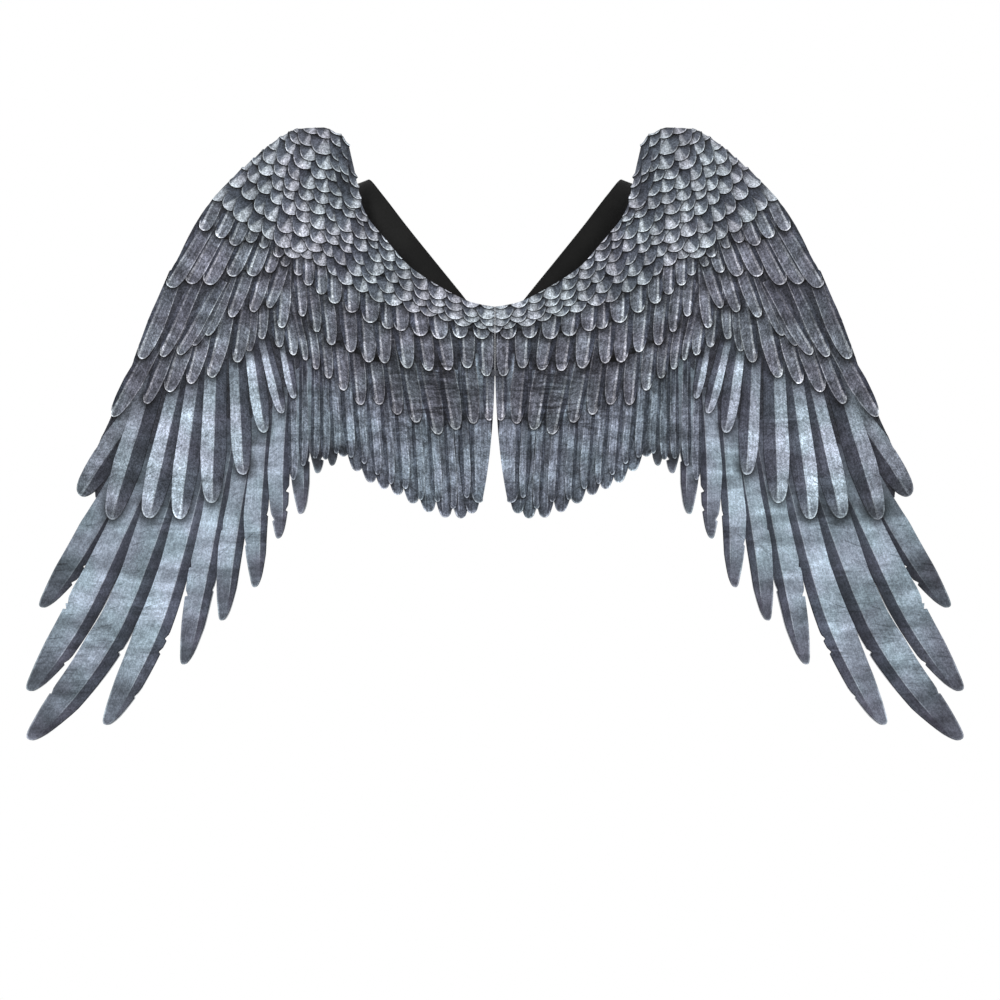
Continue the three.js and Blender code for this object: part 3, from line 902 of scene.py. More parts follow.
# Tone, place on a feather and nearness of the print where none is drawn, between the
# roots of two rows: near a root, and far from any edge.
BARE_TONE = 0.85
BARE_PLACE = (-6.0, 80.0, 16.0)
BARE_NEARNESS = (20.0, 5.0, 0.0)

# Reach of the shade that a feather throws on those below it, in mm, and its share beside
# a feather, where 1 is its share under the tip.
SHADE_LIMIT = 12.0
SIDE_SHADE = 0.5

# What the print's material reads at each corner of a triangle: the place on the feather
# and how near the feathers above it and its own edge are. under_tip is 1 under a tip and
# less beside a feather.
corner_of = triangles.reshape(-1)
owner_of = np.repeat(owner, 3)
place_on_feather = np.tile(BARE_PLACE, (len(corner_of), 1))
nearness = np.tile(BARE_NEARNESS, (len(corner_of), 1))
tone_of = np.full(len(corner_of), BARE_TONE)
under_tip = np.zeros(len(corner_of))
shaded_most = np.zeros(len(corner_of))
for index, item in enumerate(feathers):
    distances = corner_distance[index][corner_of]
    below = np.flatnonzero((owner_of < index) & (distances < SHADE_LIMIT))
    if len(below):
        back, _ = along_across(item, flat[corner_of[below]])
        weight = 1 - (1 - SIDE_SHADE) * smooth((back / item["width"] - 0.3) / 0.8)
        gap = np.maximum(distances[below], 0)
        shaded = weight * (1 - gap / SHADE_LIMIT)
        more = shaded > shaded_most[below]
        shaded_most[below[more]] = shaded[more]
        nearness[below[more], 0] = gap[more]
        under_tip[below[more]] = weight[more]
    mine = np.flatnonzero(owner_of == index)
    if not len(mine):
        continue
    back, across = along_across(item, flat[corner_of[mine]])
    place_on_feather[mine] = np.stack([across, back, np.full(len(mine), item["width"])], 1)
    nearness[mine, 1] = np.maximum(-distances[mine], 0)
    nearness[mine, 2] = item["chance"]
    tone_of[mine] = item["tone"]

# How strongly the painted shade and highlight of fine wrinkles show at each corner.
wrinkle_shade = wrinkle_shade_strength(*flat[corner_of].T)

PRINTS = ["scale", "covert", "greater", "hem", "flight"]
front_print = np.array(
    [PRINTS.index(feathers[index]["print"] if index >= 0 else "covert") for index in owner]
)

# Cloth of the wings
# The front is printed soft plush. The cut edge and the inner face show the plain pale
# grey cloth.


def add_node(tree, kind, inputs=(), **settings):
    """A node with its settings, and its inputs given values or linked to sockets."""
    node = tree.nodes.new(kind)
    for name, value in settings.items():
        setattr(node, name, value)
    for key, value in dict(inputs).items():
        if isinstance(value, bpy.types.NodeSocket):
            tree.links.new(value, node.inputs[key])
        else:
            node.inputs[key].default_value = value
    return node


def calc(tree, operation, first, second=0.0, third=0.0):
    """The result of one sum."""
    inputs = {0: first, 1: second, 2: third}
    return add_node(tree, "ShaderNodeMath", inputs, operation=operation).outputs[0]


def fade(tree, value, low, high, start=0.0, end=1.0):
    """A smooth ramp from start at low to end at high."""
    inputs = {0: value, 1: low, 2: high, 3: start, 4: end}
    settings = {"interpolation_type": "SMOOTHSTEP"}
    return add_node(tree, "ShaderNodeMapRange", inputs, **settings).outputs[0]


def mixed(tree, share, first, second):
    """First where share is 0 and second where it is 1."""
    inputs = {"Factor": share}
    node = add_node(tree, "ShaderNodeMix", inputs, data_type="RGBA")
    for key, value in ((6, first), (7, second)):
        if isinstance(value, bpy.types.NodeSocket):
            tree.links.new(value, node.inputs[key])
        else:
            node.inputs[key].default_value = (*value, 1.0)
    return node.outputs[2]


def grain(tree, vector, scale, detail=2.0, roughness=0.5):
    """Smooth noise from 0 to 1."""
    inputs = {"Vector": vector, "Scale": scale, "Detail": detail, "Roughness": roughness}
    return add_node(tree, "ShaderNodeTexNoise", inputs).outputs[0]


def shade(red, green, blue):
    """A colour given as it looks on a screen, from 0 to 255."""
    parts = (red / 255, green / 255, blue / 255)
    return tuple(c / 12.92 if c <= 0.04045 else ((c + 0.055) / 1.055) ** 2.4 for c in parts)


# Colours of each print: the outer and the inner vane, both ends and the highlights.
PRINT_COLOURS = {
    "scale": {
        "outer": shade(90, 96, 106),
        "inner": shade(172, 178, 187),
        "root": shade(66, 71, 81),
        "tip": shade(158, 164, 173),
        "bright": shade(208, 215, 222),
    },
    "covert": {
        "outer": shade(66, 71, 82),
        "inner": shade(111, 116, 126),
        "root": shade(82, 86, 96),
        "tip": shade(104, 110, 119),
        "bright": shade(214, 220, 227),
    },
    "greater": {
        "outer": shade(172, 185, 198),
        "inner": shade(80, 85, 96),
        "root": shade(74, 79, 90),
        "tip": shade(112, 119, 129),
        "bright": shade(196, 208, 218),
    },
    "hem": {
        "outer": shade(72, 79, 89),
        "inner": shade(122, 132, 144),
        "root": shade(62, 66, 76),
        "tip": shade(82, 89, 99),
        "bright": shade(190, 201, 211),
    },
    "flight": {
        "outer": shade(164, 180, 193),
        "inner": shade(78, 84, 96),
        "root": shade(92, 98, 110),
        "tip": shade(84, 86, 97),
        "bright": shade(190, 202, 212),
    },
}

# Looks of the prints. Places and lengths are in widths of the feather, back from its
# tip, where nothing else is said. Columns: scale, covert, greater, hem, flight.
PRINT_LOOKS = {
    # The tip's colour is full at tip_full and gone at tip_from. The root's colour begins
    # at root_from and is full at root_full.
    "tip_full": (0.0, 0.0, 0.2, 0.25, 0.8),
    "tip_from": (0.14, 0.16, 0.9, 1.6, 2.9),
    "root_from": (0.42, 1.2, 3.0, 5.0, 4.5),
    "root_full": (0.95, 4.5, 6.5, 11.0, 8.0),
    # The quill: place across the half width, half width in mm and brightness. It fades
    # between the first two of quill_fades to the third, and ends at quill_ends.
    "quill_at": (0.46, 0.36, 0.0, 0.25, -0.42),
    "quill_width": (0.5, 1.5, 0.6, 0.5, 0.7),
    "quill_strength": (0.42, 0.55, 0.5, 0.35, 0.5),
    "quill_fades": (
        (0.0, 1.2, 0.5),
        (0.2, 3.8, 0.25),
        (0.5, 5.0, 0.5),
        (0.5, 6.0, 0.6),
        (1.0, 12.0, 0.8),
    ),
    "quill_ends": (0.0, 0.0, 0.0, 0.6, 1.6),
    # It fans out by fan from fan_from to the tip and leans by tilt. soft is how gently
    # one vane turns to the other, in mm.
    "fan": (0.30, 0.05, 0.05, 0.0, 0.0),
    "fan_from": (0.8, 1.1, 1.2, 1.0, 1.0),
    "tilt": (0.42, 0.0, 0.0, 0.0, 0.0),
    "soft": (1.9, 2.0, 0.9, 1.0, 0.7),
    # Length and strength of the bright end of the tip.
    "cap": (0.2, 0.2, 0.22, 0.3, 0.2),
    "cap_strength": (0.15, 0.05, 0.2, 0.15, 0.1),
    # Strength of the bright rim round the tip, of that along the inner vane and of the
    # dark line there, and width of the rim, in mm, and its reach.
    "rim": (0.78, 1.0, 0.95, 0.75, 0.7),
    "inner_rim": (0.0, 0.34, 0.0, 0.3, 0.0),
    "inner_line": (0.3, 0.0, 0.7, 0.0, 0.75),
    "rim_width": (1.3, 1.6, 1.8, 1.5, 1.8),
    "rim_reach": (0.62, 0.62, 0.6, 0.5, 2.0),
    # How much the print varies: in spots and broad patches; how deep the painted shade and
    # light of soft folds lie in level bands over the cloth; and in barbs, dark splits between
    # barbs, streaks along the feather and bands across it.
    "mottle": (0.30, 0.30, 0.24, 0.26, 0.16),
    "clouds": (0.2, 0.24, 0.14, 0.18, 0.12),
    "fold_shade_bands": (0.0, 0.1, 0.22, 0.20, 0.32),
    "barbs": (0.1, 0.24, 0.12, 0.2, 0.08),
    "splits": (0.0, 0.25, 0.4, 0.3, 0.4),
    "streaks": (0.1, 0.26, 0.16, 0.34, 0.12),
    "bands": (0.10, 0.25, 0.18, 0.28, 0.14),
    # Strength of the dark line and of the soft shade under the feathers above, and reach
    # of that shade, in mm.
    "contact": (0.92, 0.98, 0.9, 0.8, 0.8),
    "soft_shade": (0.58, 0.76, 0.78, 0.5, 0.7),
    "shade_reach": (5.5, 9.0, 10.0, 5.0, 11.0),
}

# How fine the cloth's own patterns and the painted shade of level folds and of wrinkles
# are, in waves per metre, and how dark the painted shade and how bright the painted
# highlight on the two sides of a wrinkle are.
CLOTH_GRAIN = {
    "patches": 420.0,
    "fine": 720.0,
    "mottle": 360.0,
    "clouds": 45.0,
    "drift": 22.0,
    "pile": 1500.0,
}
FOLD_SHADE_GRAIN = (9.0, 9.0, 55.0)
WRINKLE_SHADE_GRAIN = (20.0, 20.0, 150.0)
WRINKLE_SHADE_DEPTH = 0.75
WRINKLE_HIGHLIGHT = 0.35

# Stretch of the patterns that follow the feather, one way and the other, and how far the
# barbs run towards the tip for each mm outwards.
FEATHER_GRAIN = {
    "barbs": (1.0, 0.10),
    "splits": (0.34, 0.02),
    "streaks": (0.62, 0.06),
    "bands": (0.085, 0.02),
}
BARB_SLANT = 0.85


def new_material(name):
    """A material, its nodes, its shader and the place on the cloth."""
    material = bpy.data.materials.new(name)
    material.use_nodes = True
    tree = material.node_tree
    cloth = add_node(tree, "ShaderNodeTexCoord").outputs["Object"]
    return material, tree, tree.nodes["Principled BSDF"], cloth


def add_bump(tree, shader, strength, distance, height):
    """Fine relief in the shading, distance in metres."""
    inputs = {"Strength": strength, "Distance": distance, "Height": height}
    bump = add_node(tree, "ShaderNodeBump", inputs)
    tree.links.new(bump.outputs[0], shader.inputs["Normal"])


def product(tree, *factors):
    """All factors multiplied."""
    result = factors[0]
    for factor in factors[1:]:
        result = calc(tree, "MULTIPLY", result, factor)
    return result


def varied(tree, value, low, high, amount):
    """A factor from 1 - amount, where value is low, to 1 + amount, where it is high."""
    return fade(tree, value, low, high, 1 - amount, 1 + amount)


def feather_grain(tree, first, second, pattern, shift):
    """The place in the noise of a pattern that follows the feather."""
    stretch = FEATHER_GRAIN[pattern]
    inputs = {
        0: calc(tree, "MULTIPLY", first, stretch[0]),
        1: calc(tree, "MULTIPLY", second, stretch[1]),
        2: shift,
    }
    return add_node(tree, "ShaderNodeCombineXYZ", inputs).outputs[0]


def print_material(name, look):
    """Soft cloth with one kind of printed feather. The noises lie mostly between 0.3 and
    0.7, so the ramps on them run between such values."""
    material, tree, shader, cloth = new_material(name)
    where = add_node(tree, "ShaderNodeAttribute", attribute_name="place_on_feather")
    near = add_node(tree, "ShaderNodeAttribute", attribute_name="nearness")
    # The last attribute is how strongly the painted shade and highlight of wrinkles show.
    tone, under_tip, wrinkle_shade = (
        add_node(tree, "ShaderNodeAttribute", attribute_name=attribute).outputs["Fac"]
        for attribute in ("tone", "under_tip", "wrinkle_shade")
    )
    where = add_node(tree, "ShaderNodeSeparateXYZ", {0: where.outputs["Vector"]})
    near = add_node(tree, "ShaderNodeSeparateXYZ", {0: near.outputs["Vector"]})
    across, back, width = where.outputs
    below, edge, feather_chance = near.outputs
    half = calc(tree, "MULTIPLY", width, 0.5)
    across_share = calc(tree, "DIVIDE", across, half)
    back_share = calc(tree, "DIVIDE", back, width)
    shift = calc(tree, "MULTIPLY", feather_chance, 91.0)

    # The two vanes, either side of the quill, and the colours of the ends.
    quill_place = calc(tree, "MULTIPLY", half, look["quill_at"])
    tilted = calc(tree, "MULTIPLY_ADD", back, look["tilt"], across)
    from_quill = calc(tree, "SUBTRACT", tilted, quill_place)
    beside = calc(tree, "ABSOLUTE", from_quill)
    outer_vane = fade(tree, from_quill, -look["soft"], look["soft"])
    colour = mixed(tree, outer_vane, look["inner"], look["outer"])
    rooted = fade(tree, back_share, look["root_from"], look["root_full"])
    colour = mixed(tree, rooted, colour, look["root"])
    tipped = fade(tree, back_share, look["tip_full"], look["tip_from"], 0.85, 0.0)
    colour = mixed(tree, tipped, colour, look["tip"])

    # Barbs that run from the quill towards the tip, and the splits between them.
    over_barbs = calc(tree, "MULTIPLY_ADD", beside, BARB_SLANT, back)
    down_barbs = calc(tree, "SUBTRACT", beside, back)
    barbs = feather_grain(tree, over_barbs, down_barbs, "barbs", shift)
    barbs = grain(tree, barbs, 0.75, 3.0, 0.6)
    barb_share = varied(tree, barbs, 0.32, 0.68, look["barbs"])
    splits = feather_grain(tree, over_barbs, down_barbs, "splits", shift)
    splits = fade(tree, grain(tree, splits, 1.0, 1.0), 0.66, 0.72)
    far_out = fade(tree, calc(tree, "DIVIDE", beside, half), 0.25, 0.7)
    splits = product(tree, splits, far_out, look["splits"])

    # Streaks along the feather and soft bands across it.
    streaks = feather_grain(tree, across, back, "streaks", shift)
    streaks = varied(tree, grain(tree, streaks, 1.0, 2.0), 0.32, 0.68, look["streaks"])
    bands = feather_grain(tree, back, across, "bands", shift)
    bands = varied(tree, grain(tree, bands, 1.0, 2.0), 0.34, 0.66, look["bands"])

    # The bright quill, tip and rim.
    to_tip = calc(tree, "MAXIMUM", calc(tree, "SUBTRACT", look["fan_from"], back_share), 0.0)
    fan = product(tree, to_tip, width, look["fan"])
    quill_wide = calc(tree, "ADD", fan, look["quill_width"])
    quill_line = fade(tree, calc(tree, "DIVIDE", beside, quill_wide), 0.3, 1.0, 1.0, 0.0)
    fade_from, fade_to, faded = look["quill_fades"]
    quill_fade = fade(tree, back_share, fade_from, fade_to, 1.0, faded)
    quill_end = fade(tree, back_share, 0.4 * look["quill_ends"] - 0.01, look["quill_ends"])
    quill = product(tree, quill_line, look["quill_strength"], quill_fade, quill_end)
    cap = fade(tree, back_share, 0.0, look["cap"], look["cap_strength"], 0.0)
    tip_side = fade(tree, across_share, -0.7, 0.0, 0.15, 1.0)
    rim = fade(tree, edge, 0.4 * look["rim_width"], look["rim_width"], look["rim"], 0.0)
    rim_reach = fade(tree, back_share, 0.10, look["rim_reach"], 1.0, 0.0)
    rim = product(tree, rim, rim_reach, tip_side)
    inner_rim = fade(tree, edge, 0.4, 1.2, look["inner_rim"], 0.0)
    inner_vane = fade(tree, across_share, -0.7, -0.3, 1.0, 0.0)
    inner_rim = product(tree, inner_rim, inner_vane, fade(tree, back_share, 0.2, 1.0))
    rim = calc(tree, "MAXIMUM", rim, inner_rim)
    patchy = fade(tree, grain(tree, cloth, CLOTH_GRAIN["patches"], 2.0), 0.3, 0.6, 0.75, 1.05)
    bright = calc(tree, "MULTIPLY", calc(tree, "MAXIMUM", quill, cap), patchy)
    bright = calc(tree, "MAXIMUM", bright, rim)
    colour = mixed(tree, bright, colour, look["bright"])

    # Mottling of the print, from fine to broad, painted shade and light of soft folds in level
    # bands, and a drift from bluish to purplish.
    fine = grain(tree, cloth, CLOTH_GRAIN["fine"], 1.0)
    fine = varied(tree, fine, 0.3, 0.7, look["mottle"])
    mottle = grain(tree, cloth, CLOTH_GRAIN["mottle"], 2.0)
    mottle = varied(tree, mottle, 0.3, 0.7, look["mottle"])
    level_inputs = {"Vector": cloth, "Scale": FOLD_SHADE_GRAIN}
    fold_shade = add_node(tree, "ShaderNodeMapping", level_inputs).outputs[0]
    darkest, lightest = 1 - look["fold_shade_bands"], 1 + 0.5 * look["fold_shade_bands"]
    fold_shade = fade(tree, grain(tree, fold_shade, 1.0, 3.0), 0.36, 0.62, darkest, lightest)
    clouds = grain(tree, cloth, CLOTH_GRAIN["clouds"], 2.0)
    clouds = varied(tree, clouds, 0.3, 0.7, look["clouds"])
    drift = fade(tree, grain(tree, cloth, CLOTH_GRAIN["drift"], 2.0), 0.35, 0.65)
    tint = mixed(tree, drift, (1.035, 0.975, 1.02), (0.97, 1.005, 1.005))

    # Painted shade and painted highlight of fine level wrinkles in the worn cloth: a dark line
    # and a lit one beside it.
    wrinkle_inputs = {"Vector": cloth, "Scale": WRINKLE_SHADE_GRAIN}
    wrinkle_shading = add_node(tree, "ShaderNodeMapping", wrinkle_inputs).outputs[0]
    wrinkle_shading = grain(tree, wrinkle_shading, 1.0, 2.0, 0.6)
    darker = fade(tree, wrinkle_shading, 0.40, 0.49)
    lighter = fade(tree, wrinkle_shading, 0.49, 0.56, 1.0, 0.0)
    wrinkle_painted_shade = calc(tree, "MULTIPLY", darker, lighter)
    wrinkle_painted_highlight = calc(tree, "MULTIPLY", fade(tree, wrinkle_shading, 0.54, 0.64), WRINKLE_HIGHLIGHT)
    wrinkle_shading = calc(tree, "MULTIPLY_ADD", wrinkle_painted_shade, -WRINKLE_SHADE_DEPTH, wrinkle_painted_highlight)
    wrinkle_shading = calc(tree, "MULTIPLY_ADD", wrinkle_shading, wrinkle_shade, 1.0)

    # Dark lines along the inner vane's edge and under the feathers above.
    inner_side = fade(tree, across_share, -0.6, 0.1, 1.0, 0.0)
    own_line = product(tree, fade(tree, edge, 0.3, 1.3, look["inner_line"], 0.0), inner_side)
    contact = product(tree, fade(tree, below, 0.6, 1.7, look["contact"], 0.0), under_tip)
    soft = fade(tree, below, 0.0, look["shade_reach"], look["soft_shade"], 0.0)
    soft = product(tree, soft, under_tip)
    dark = calc(tree, "MAXIMUM", calc(tree, "MAXIMUM", own_line, contact), soft)
    dark = calc(tree, "MAXIMUM", dark, splits)
    light = calc(tree, "SUBTRACT", 1.0, dark)
    # The feather's own tone and patterns, then the cloth's mottling with the painted shade and light of
    # level folds and of wrinkles.
    along_feather = (tone, barb_share, streaks, bands)
    over_cloth = (fold_shade, fine, mottle, clouds, wrinkle_shading)
    light = product(tree, light, *along_feather, *over_cloth)
    light = add_node(tree, "ShaderNodeVectorMath", {0: tint, 3: light}, operation="SCALE").outputs[0]
    settings = {"data_type": "RGBA", "blend_type": "MULTIPLY"}
    inputs = {6: colour, 7: light, "Factor": 1.0}
    colour = add_node(tree, "ShaderNodeMix", inputs, **settings).outputs[2]
    tree.links.new(colour, shader.inputs["Base Color"])

    # Short plush pile.
    pile = grain(tree, cloth, CLOTH_GRAIN["pile"], 2.0, 0.7)
    nap = calc(tree, "MULTIPLY_ADD", barbs, 0.6, pile)
    add_bump(tree, shader, 0.5, 0.0004, nap)
    roughness = fade(tree, pile, 0.2, 0.8, 0.82, 0.98)
    tree.links.new(roughness, shader.inputs["Roughness"])
    shader.inputs["Specular IOR Level"].default_value = 0.2
    shader.inputs["Sheen Weight"].default_value = 0.08
    shader.inputs["Sheen Roughness"].default_value = 0.5
    return material


def plain_cloth(name, pale, dark):
    """The unprinted side of the cloth: short felted fibres."""
    material, tree, shader, cloth = new_material(name)
    fibres = grain(tree, cloth, 700.0, 4.0, 0.7)
    patches = grain(tree, cloth, 60.0, 2.0)
    share = calc(tree, "MULTIPLY_ADD", patches, 0.35, calc(tree, "MULTIPLY", fibres, 0.65))
    colour = mixed(tree, fade(tree, share, 0.3, 0.7), dark, pale)
    tree.links.new(colour, shader.inputs["Base Color"])
    add_bump(tree, shader, 0.6, 0.0005, fibres)
    tree.links.new(fade(tree, fibres, 0.2, 0.8, 0.85, 1.0), shader.inputs["Roughness"])
    shader.inputs["Sheen Weight"].default_value = 0.3
    return material


wing_materials = []
for column, name in enumerate(PRINTS):
    look = {key: row[column] for key, row in PRINT_LOOKS.items()}
    look.update(PRINT_COLOURS[name])
    wing_materials.append(print_material(f"{name}_print", look))
wing_materials.append(plain_cloth("inner_face_cloth", shade(176, 179, 184), shade(138, 142, 149)))
wing_materials.append(plain_cloth("cut_edge_cloth", shade(172, 176, 182), shade(128, 132, 140)))

# The two wing panels
# One closed sheet each: the printed front, the plain inner face and the cut edge.

front = worn(flat[:, 0], flat[:, 1], heights)
back_face = worn(flat[:, 0], flat[:, 1], np.zeros(len(flat)))

sides = np.concatenate([triangles[:, [0, 1]], triangles[:, [1, 2]], triangles[:, [2, 0]]])
known_sides = {tuple(side) for side in sides.tolist()}
rim_sides = np.array([side for side in sides.tolist() if (side[1], side[0]) not in known_sides])


def wing_panel(name, hand):
    """One wing's closed sheet, mirrored for the wearer's left."""
    count = len(flat)
    points = np.concatenate([front, back_face]) * (hand, 1, 1)
    faces = [tuple(face) for face in triangles.tolist()]
    faces += [(c + count, b + count, a + count) for a, b, c in triangles.tolist()]
    faces += [(b, a, a + count, b + count) for a, b in rim_sides.tolist()]
    if hand < 0:
        faces = [tuple(reversed(face)) for face in faces]
    mesh = bpy.data.meshes.new(name)
    mesh.from_pydata(points.tolist(), [], faces)
    order = [2, 1, 0] if hand < 0 else [0, 1, 2]
    corners = 3 * len(triangles)
    for attribute, values, blank in (
        ("place_on_feather", place_on_feather, BARE_PLACE),
        ("nearness", nearness, BARE_NEARNESS),
    ):
        layer = mesh.attributes.new(attribute, "FLOAT_VECTOR", "CORNER")
        whole = np.tile(np.array(blank, np.float32), (len(mesh.loops), 1))
        whole[:corners] = values.reshape(-1, 3, 3)[:, order].reshape(-1, 3)
        layer.data.foreach_set("vector", whole.ravel())
    # The last of these is how strongly the painted shade and highlight of wrinkles show.
    for attribute, values in (("tone", tone_of), ("under_tip", under_tip), ("wrinkle_shade", wrinkle_shade)):
        layer = mesh.attributes.new(attribute, "FLOAT", "CORNER")
        whole = np.ones(len(mesh.loops), np.float32)
        whole[:corners] = values.reshape(-1, 3)[:, order].reshape(-1)
        layer.data.foreach_set("value", whole)
    for material in wing_materials:
        mesh.materials.append(material)
    inner_slots = np.full(len(triangles), len(PRINTS))
    rim_slots = np.full(len(rim_sides), len(PRINTS) + 1)
    slots = np.concatenate([front_print, inner_slots, rim_slots])
    mesh.polygons.foreach_set("material_index", slots.astype(np.int32))
    mesh.polygons.foreach_set("use_smooth", np.ones(len(faces), bool))
    mesh.set_sharp_from_angle(angle=math.radians(34))
    mesh.update()
    return add_object(name, mesh)


for side, hand in (("left", -1), ("right", 1)):
    panel = wing_panel(f"wing_panel_{side}", hand)
    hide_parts(f"wing_{side}")
    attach(panel, "root")

# The two elastic straps
# Each is one band of black woven elastic, 30 mm wide, with fine ribs across it. It is sewn
# to the inner face beside the seam, runs forwards over the shoulder in a loop and is sewn
# to the inner face again on the wing.

STRAP_WIDTH = 30.0
STRAP_WALL = 1.6
STRAP_CLEARANCE = 0.7
CHEST_DEPTH = 132.0
BAND_STEPS = 220
RIB_PITCH = 1.5
RIB_WIDTH = 1.05

# Run of a strap. Columns: out and up, as shares; forward, as a share of the chest's
# depth, or None where it lies on the wing; direction of the strap's width.
STRAP_RUN = [
    (0.030, -0.059, None, 0.78, 0.0, -0.63),
    (0.058, -0.031, None, 0.78, 0.0, -0.63),
    (0.087, -0.002, None, 0.78, 0.0, -0.63),
    (0.152, 0.060, 0.045, 0.78, 0.0, -0.63),
    (0.212, 0.118, 0.125, 0.80, 0.0, -0.60),
    (0.263, 0.170, 0.275, 0.88, 0.0, -0.46),
    (0.297, 0.202, 0.480, 0.94, 0.0, -0.34),
    (0.307, 0.189, 0.730, 0.96, 0.0, -0.28),
    (0.301, 0.139, 0.930, 0.99, 0.0, -0.12),
    (0.282, 0.070, 1.000, 1.00, 0.0, 0.0),
    (0.270, 0.012, 0.930, 0.90, 0.3, 0.30),
    (0.278, -0.028, 0.740, 0.50, 0.2, 0.84),
    (0.272, -0.050, 0.520, 0.15, 0.1, 0.98),
    (0.240, -0.074, 0.300, -0.10, 0.1, 0.99),
    (0.190, -0.105, 0.110, -0.25, 0.1, 0.96),
    (0.140, -0.132, None, -0.40, 0.0, 0.92),
    (0.114, -0.144, None, -0.40, 0.0, 0.92),
    (0.088, -0.156, None, -0.40, 0.0, 0.92),
]

# Outline of the band's section. Columns: across, as a share of half the width; through,
# as a share of half the wall.
BAND_SECTION = [
    (-0.985, 0.0),
    (-0.955, 0.75),
    (-0.80, 0.86),
    (0.80, 0.86),
    (0.955, 0.75),
    (0.985, 0.0),
    (0.955, -0.75),
    (0.80, -0.86),
    (-0.80, -0.86),
    (-0.955, -0.75),
]


def passing(stations, shares, even):
    """Points of a smooth line that runs on past its last stations. even gives each stretch
    the same weight; otherwise a stretch counts by the root of its length."""
    stations = np.asarray(stations, float)
    before = 2 * stations[0] - stations[1]
    after = 2 * stations[-1] - stations[-2]
    padded = np.concatenate([[before], stations, [after]])
    last = len(stations) - 1
    at = np.asarray(shares, float) * last
    low = np.clip(np.floor(at).astype(int), 0, last - 1)
    part = (at - low)[:, None]
    p0, p1, p2, p3 = (padded[low + i] for i in range(4))
    if even:
        leave, arrive = (p2 - p0) / 2, (p3 - p1) / 2
    else:
        pairs = ((p0, p1), (p1, p2), (p2, p3))
        d0, d1, d2 = (np.linalg.norm(b - a, axis=1)[:, None] ** 0.5 for a, b in pairs)
        leave = d1 * ((p1 - p0) / d0 - (p2 - p0) / (d0 + d1) + (p2 - p1) / d1)
        arrive = d1 * ((p2 - p1) / d1 - (p3 - p1) / (d1 + d2) + (p3 - p2) / d2)
    cubic = 2 * p1 - 2 * p2 + leave + arrive
    square = -3 * p1 + 3 * p2 - 2 * leave - arrive
    return ((cubic * part + square) * part + leave) * part + p1


def seat_on_cloth(out, up, width_out, width_up):
    """Where a strap lies flat on the cloth: its middles and its width directions."""
    reach = STRAP_WIDTH / 2
    seat = STRAP_CLEARANCE + STRAP_WALL / 2
    outer_edge = depth(out + reach * width_out, up + reach * width_up)
    inner_edge = depth(out - reach * width_out, up - reach * width_up)
    forward = np.maximum(depth(out, up), (outer_edge + inner_edge) / 2)
    centre = np.stack([out, forward, up], 1) + seat * inward(out, up)
    width = np.stack([width_out, (outer_edge - inner_edge) / (2 * reach), width_up], 1)
    return centre, width


run_table = np.array([[np.nan if value is None else value for value in row] for row in STRAP_RUN])
run_out, run_up = run_table[:, 0] * WING_REACH, run_table[:, 1] * WING_HEIGHT
seats, seat_widths = seat_on_cloth(run_out, run_up, run_table[:, 3], run_table[:, 5])
on_cloth = np.isnan(run_table[:, 2])[:, None]
free_centres = np.stack([run_out, run_table[:, 2] * CHEST_DEPTH, run_up], 1)
strap_stations = np.where(on_cloth, seats, free_centres)
width_stations = np.where(on_cloth, seat_widths, run_table[:, 3:6])
strap_shares = np.linspace(0, 1, BAND_STEPS + 1)
strap_line = passing(strap_stations, strap_shares, False)
strap_widths = passing(width_stations, strap_shares, True)
seats, seat_widths = seat_on_cloth(
    strap_line[:, 0], strap_line[:, 2], strap_widths[:, 0], strap_widths[:, 2]
)
behind = seats[:, 1] > strap_line[:, 1]
strap_line[behind], strap_widths[behind] = seats[behind], seat_widths[behind]
headings = np.gradient(strap_line, axis=0)
headings /= np.linalg.norm(headings, axis=1)[:, None]
strap_widths -= (strap_widths * headings).sum(1)[:, None] * headings
strap_widths /= np.linalg.norm(strap_widths, axis=1)[:, None]
strap_faces = np.cross(headings, strap_widths)


def elastic_material():
    """Woven elastic: dull black yarns with a faint sheen along the ribs."""
    material, tree, shader, cloth = new_material("black_elastic")
    yarns = grain(tree, cloth, 1400.0, 2.0, 0.7)
    worn_patches = grain(tree, cloth, 40.0, 2.0)
    share = calc(tree, "MULTIPLY_ADD", worn_patches, 0.5, calc(tree, "MULTIPLY", yarns, 0.5))
    colour = mixed(tree, fade(tree, share, 0.32, 0.68), shade(3, 3, 3), shade(15, 15, 14))
    tree.links.new(colour, shader.inputs["Base Color"])
    add_bump(tree, shader, 0.5, 0.0002, yarns)
    tree.links.new(fade(tree, yarns, 0.2, 0.8, 0.5, 0.75), shader.inputs["Roughness"])
    shader.inputs["Specular IOR Level"].default_value = 0.18
    shader.inputs["Sheen Weight"].default_value = 0.05
    return material


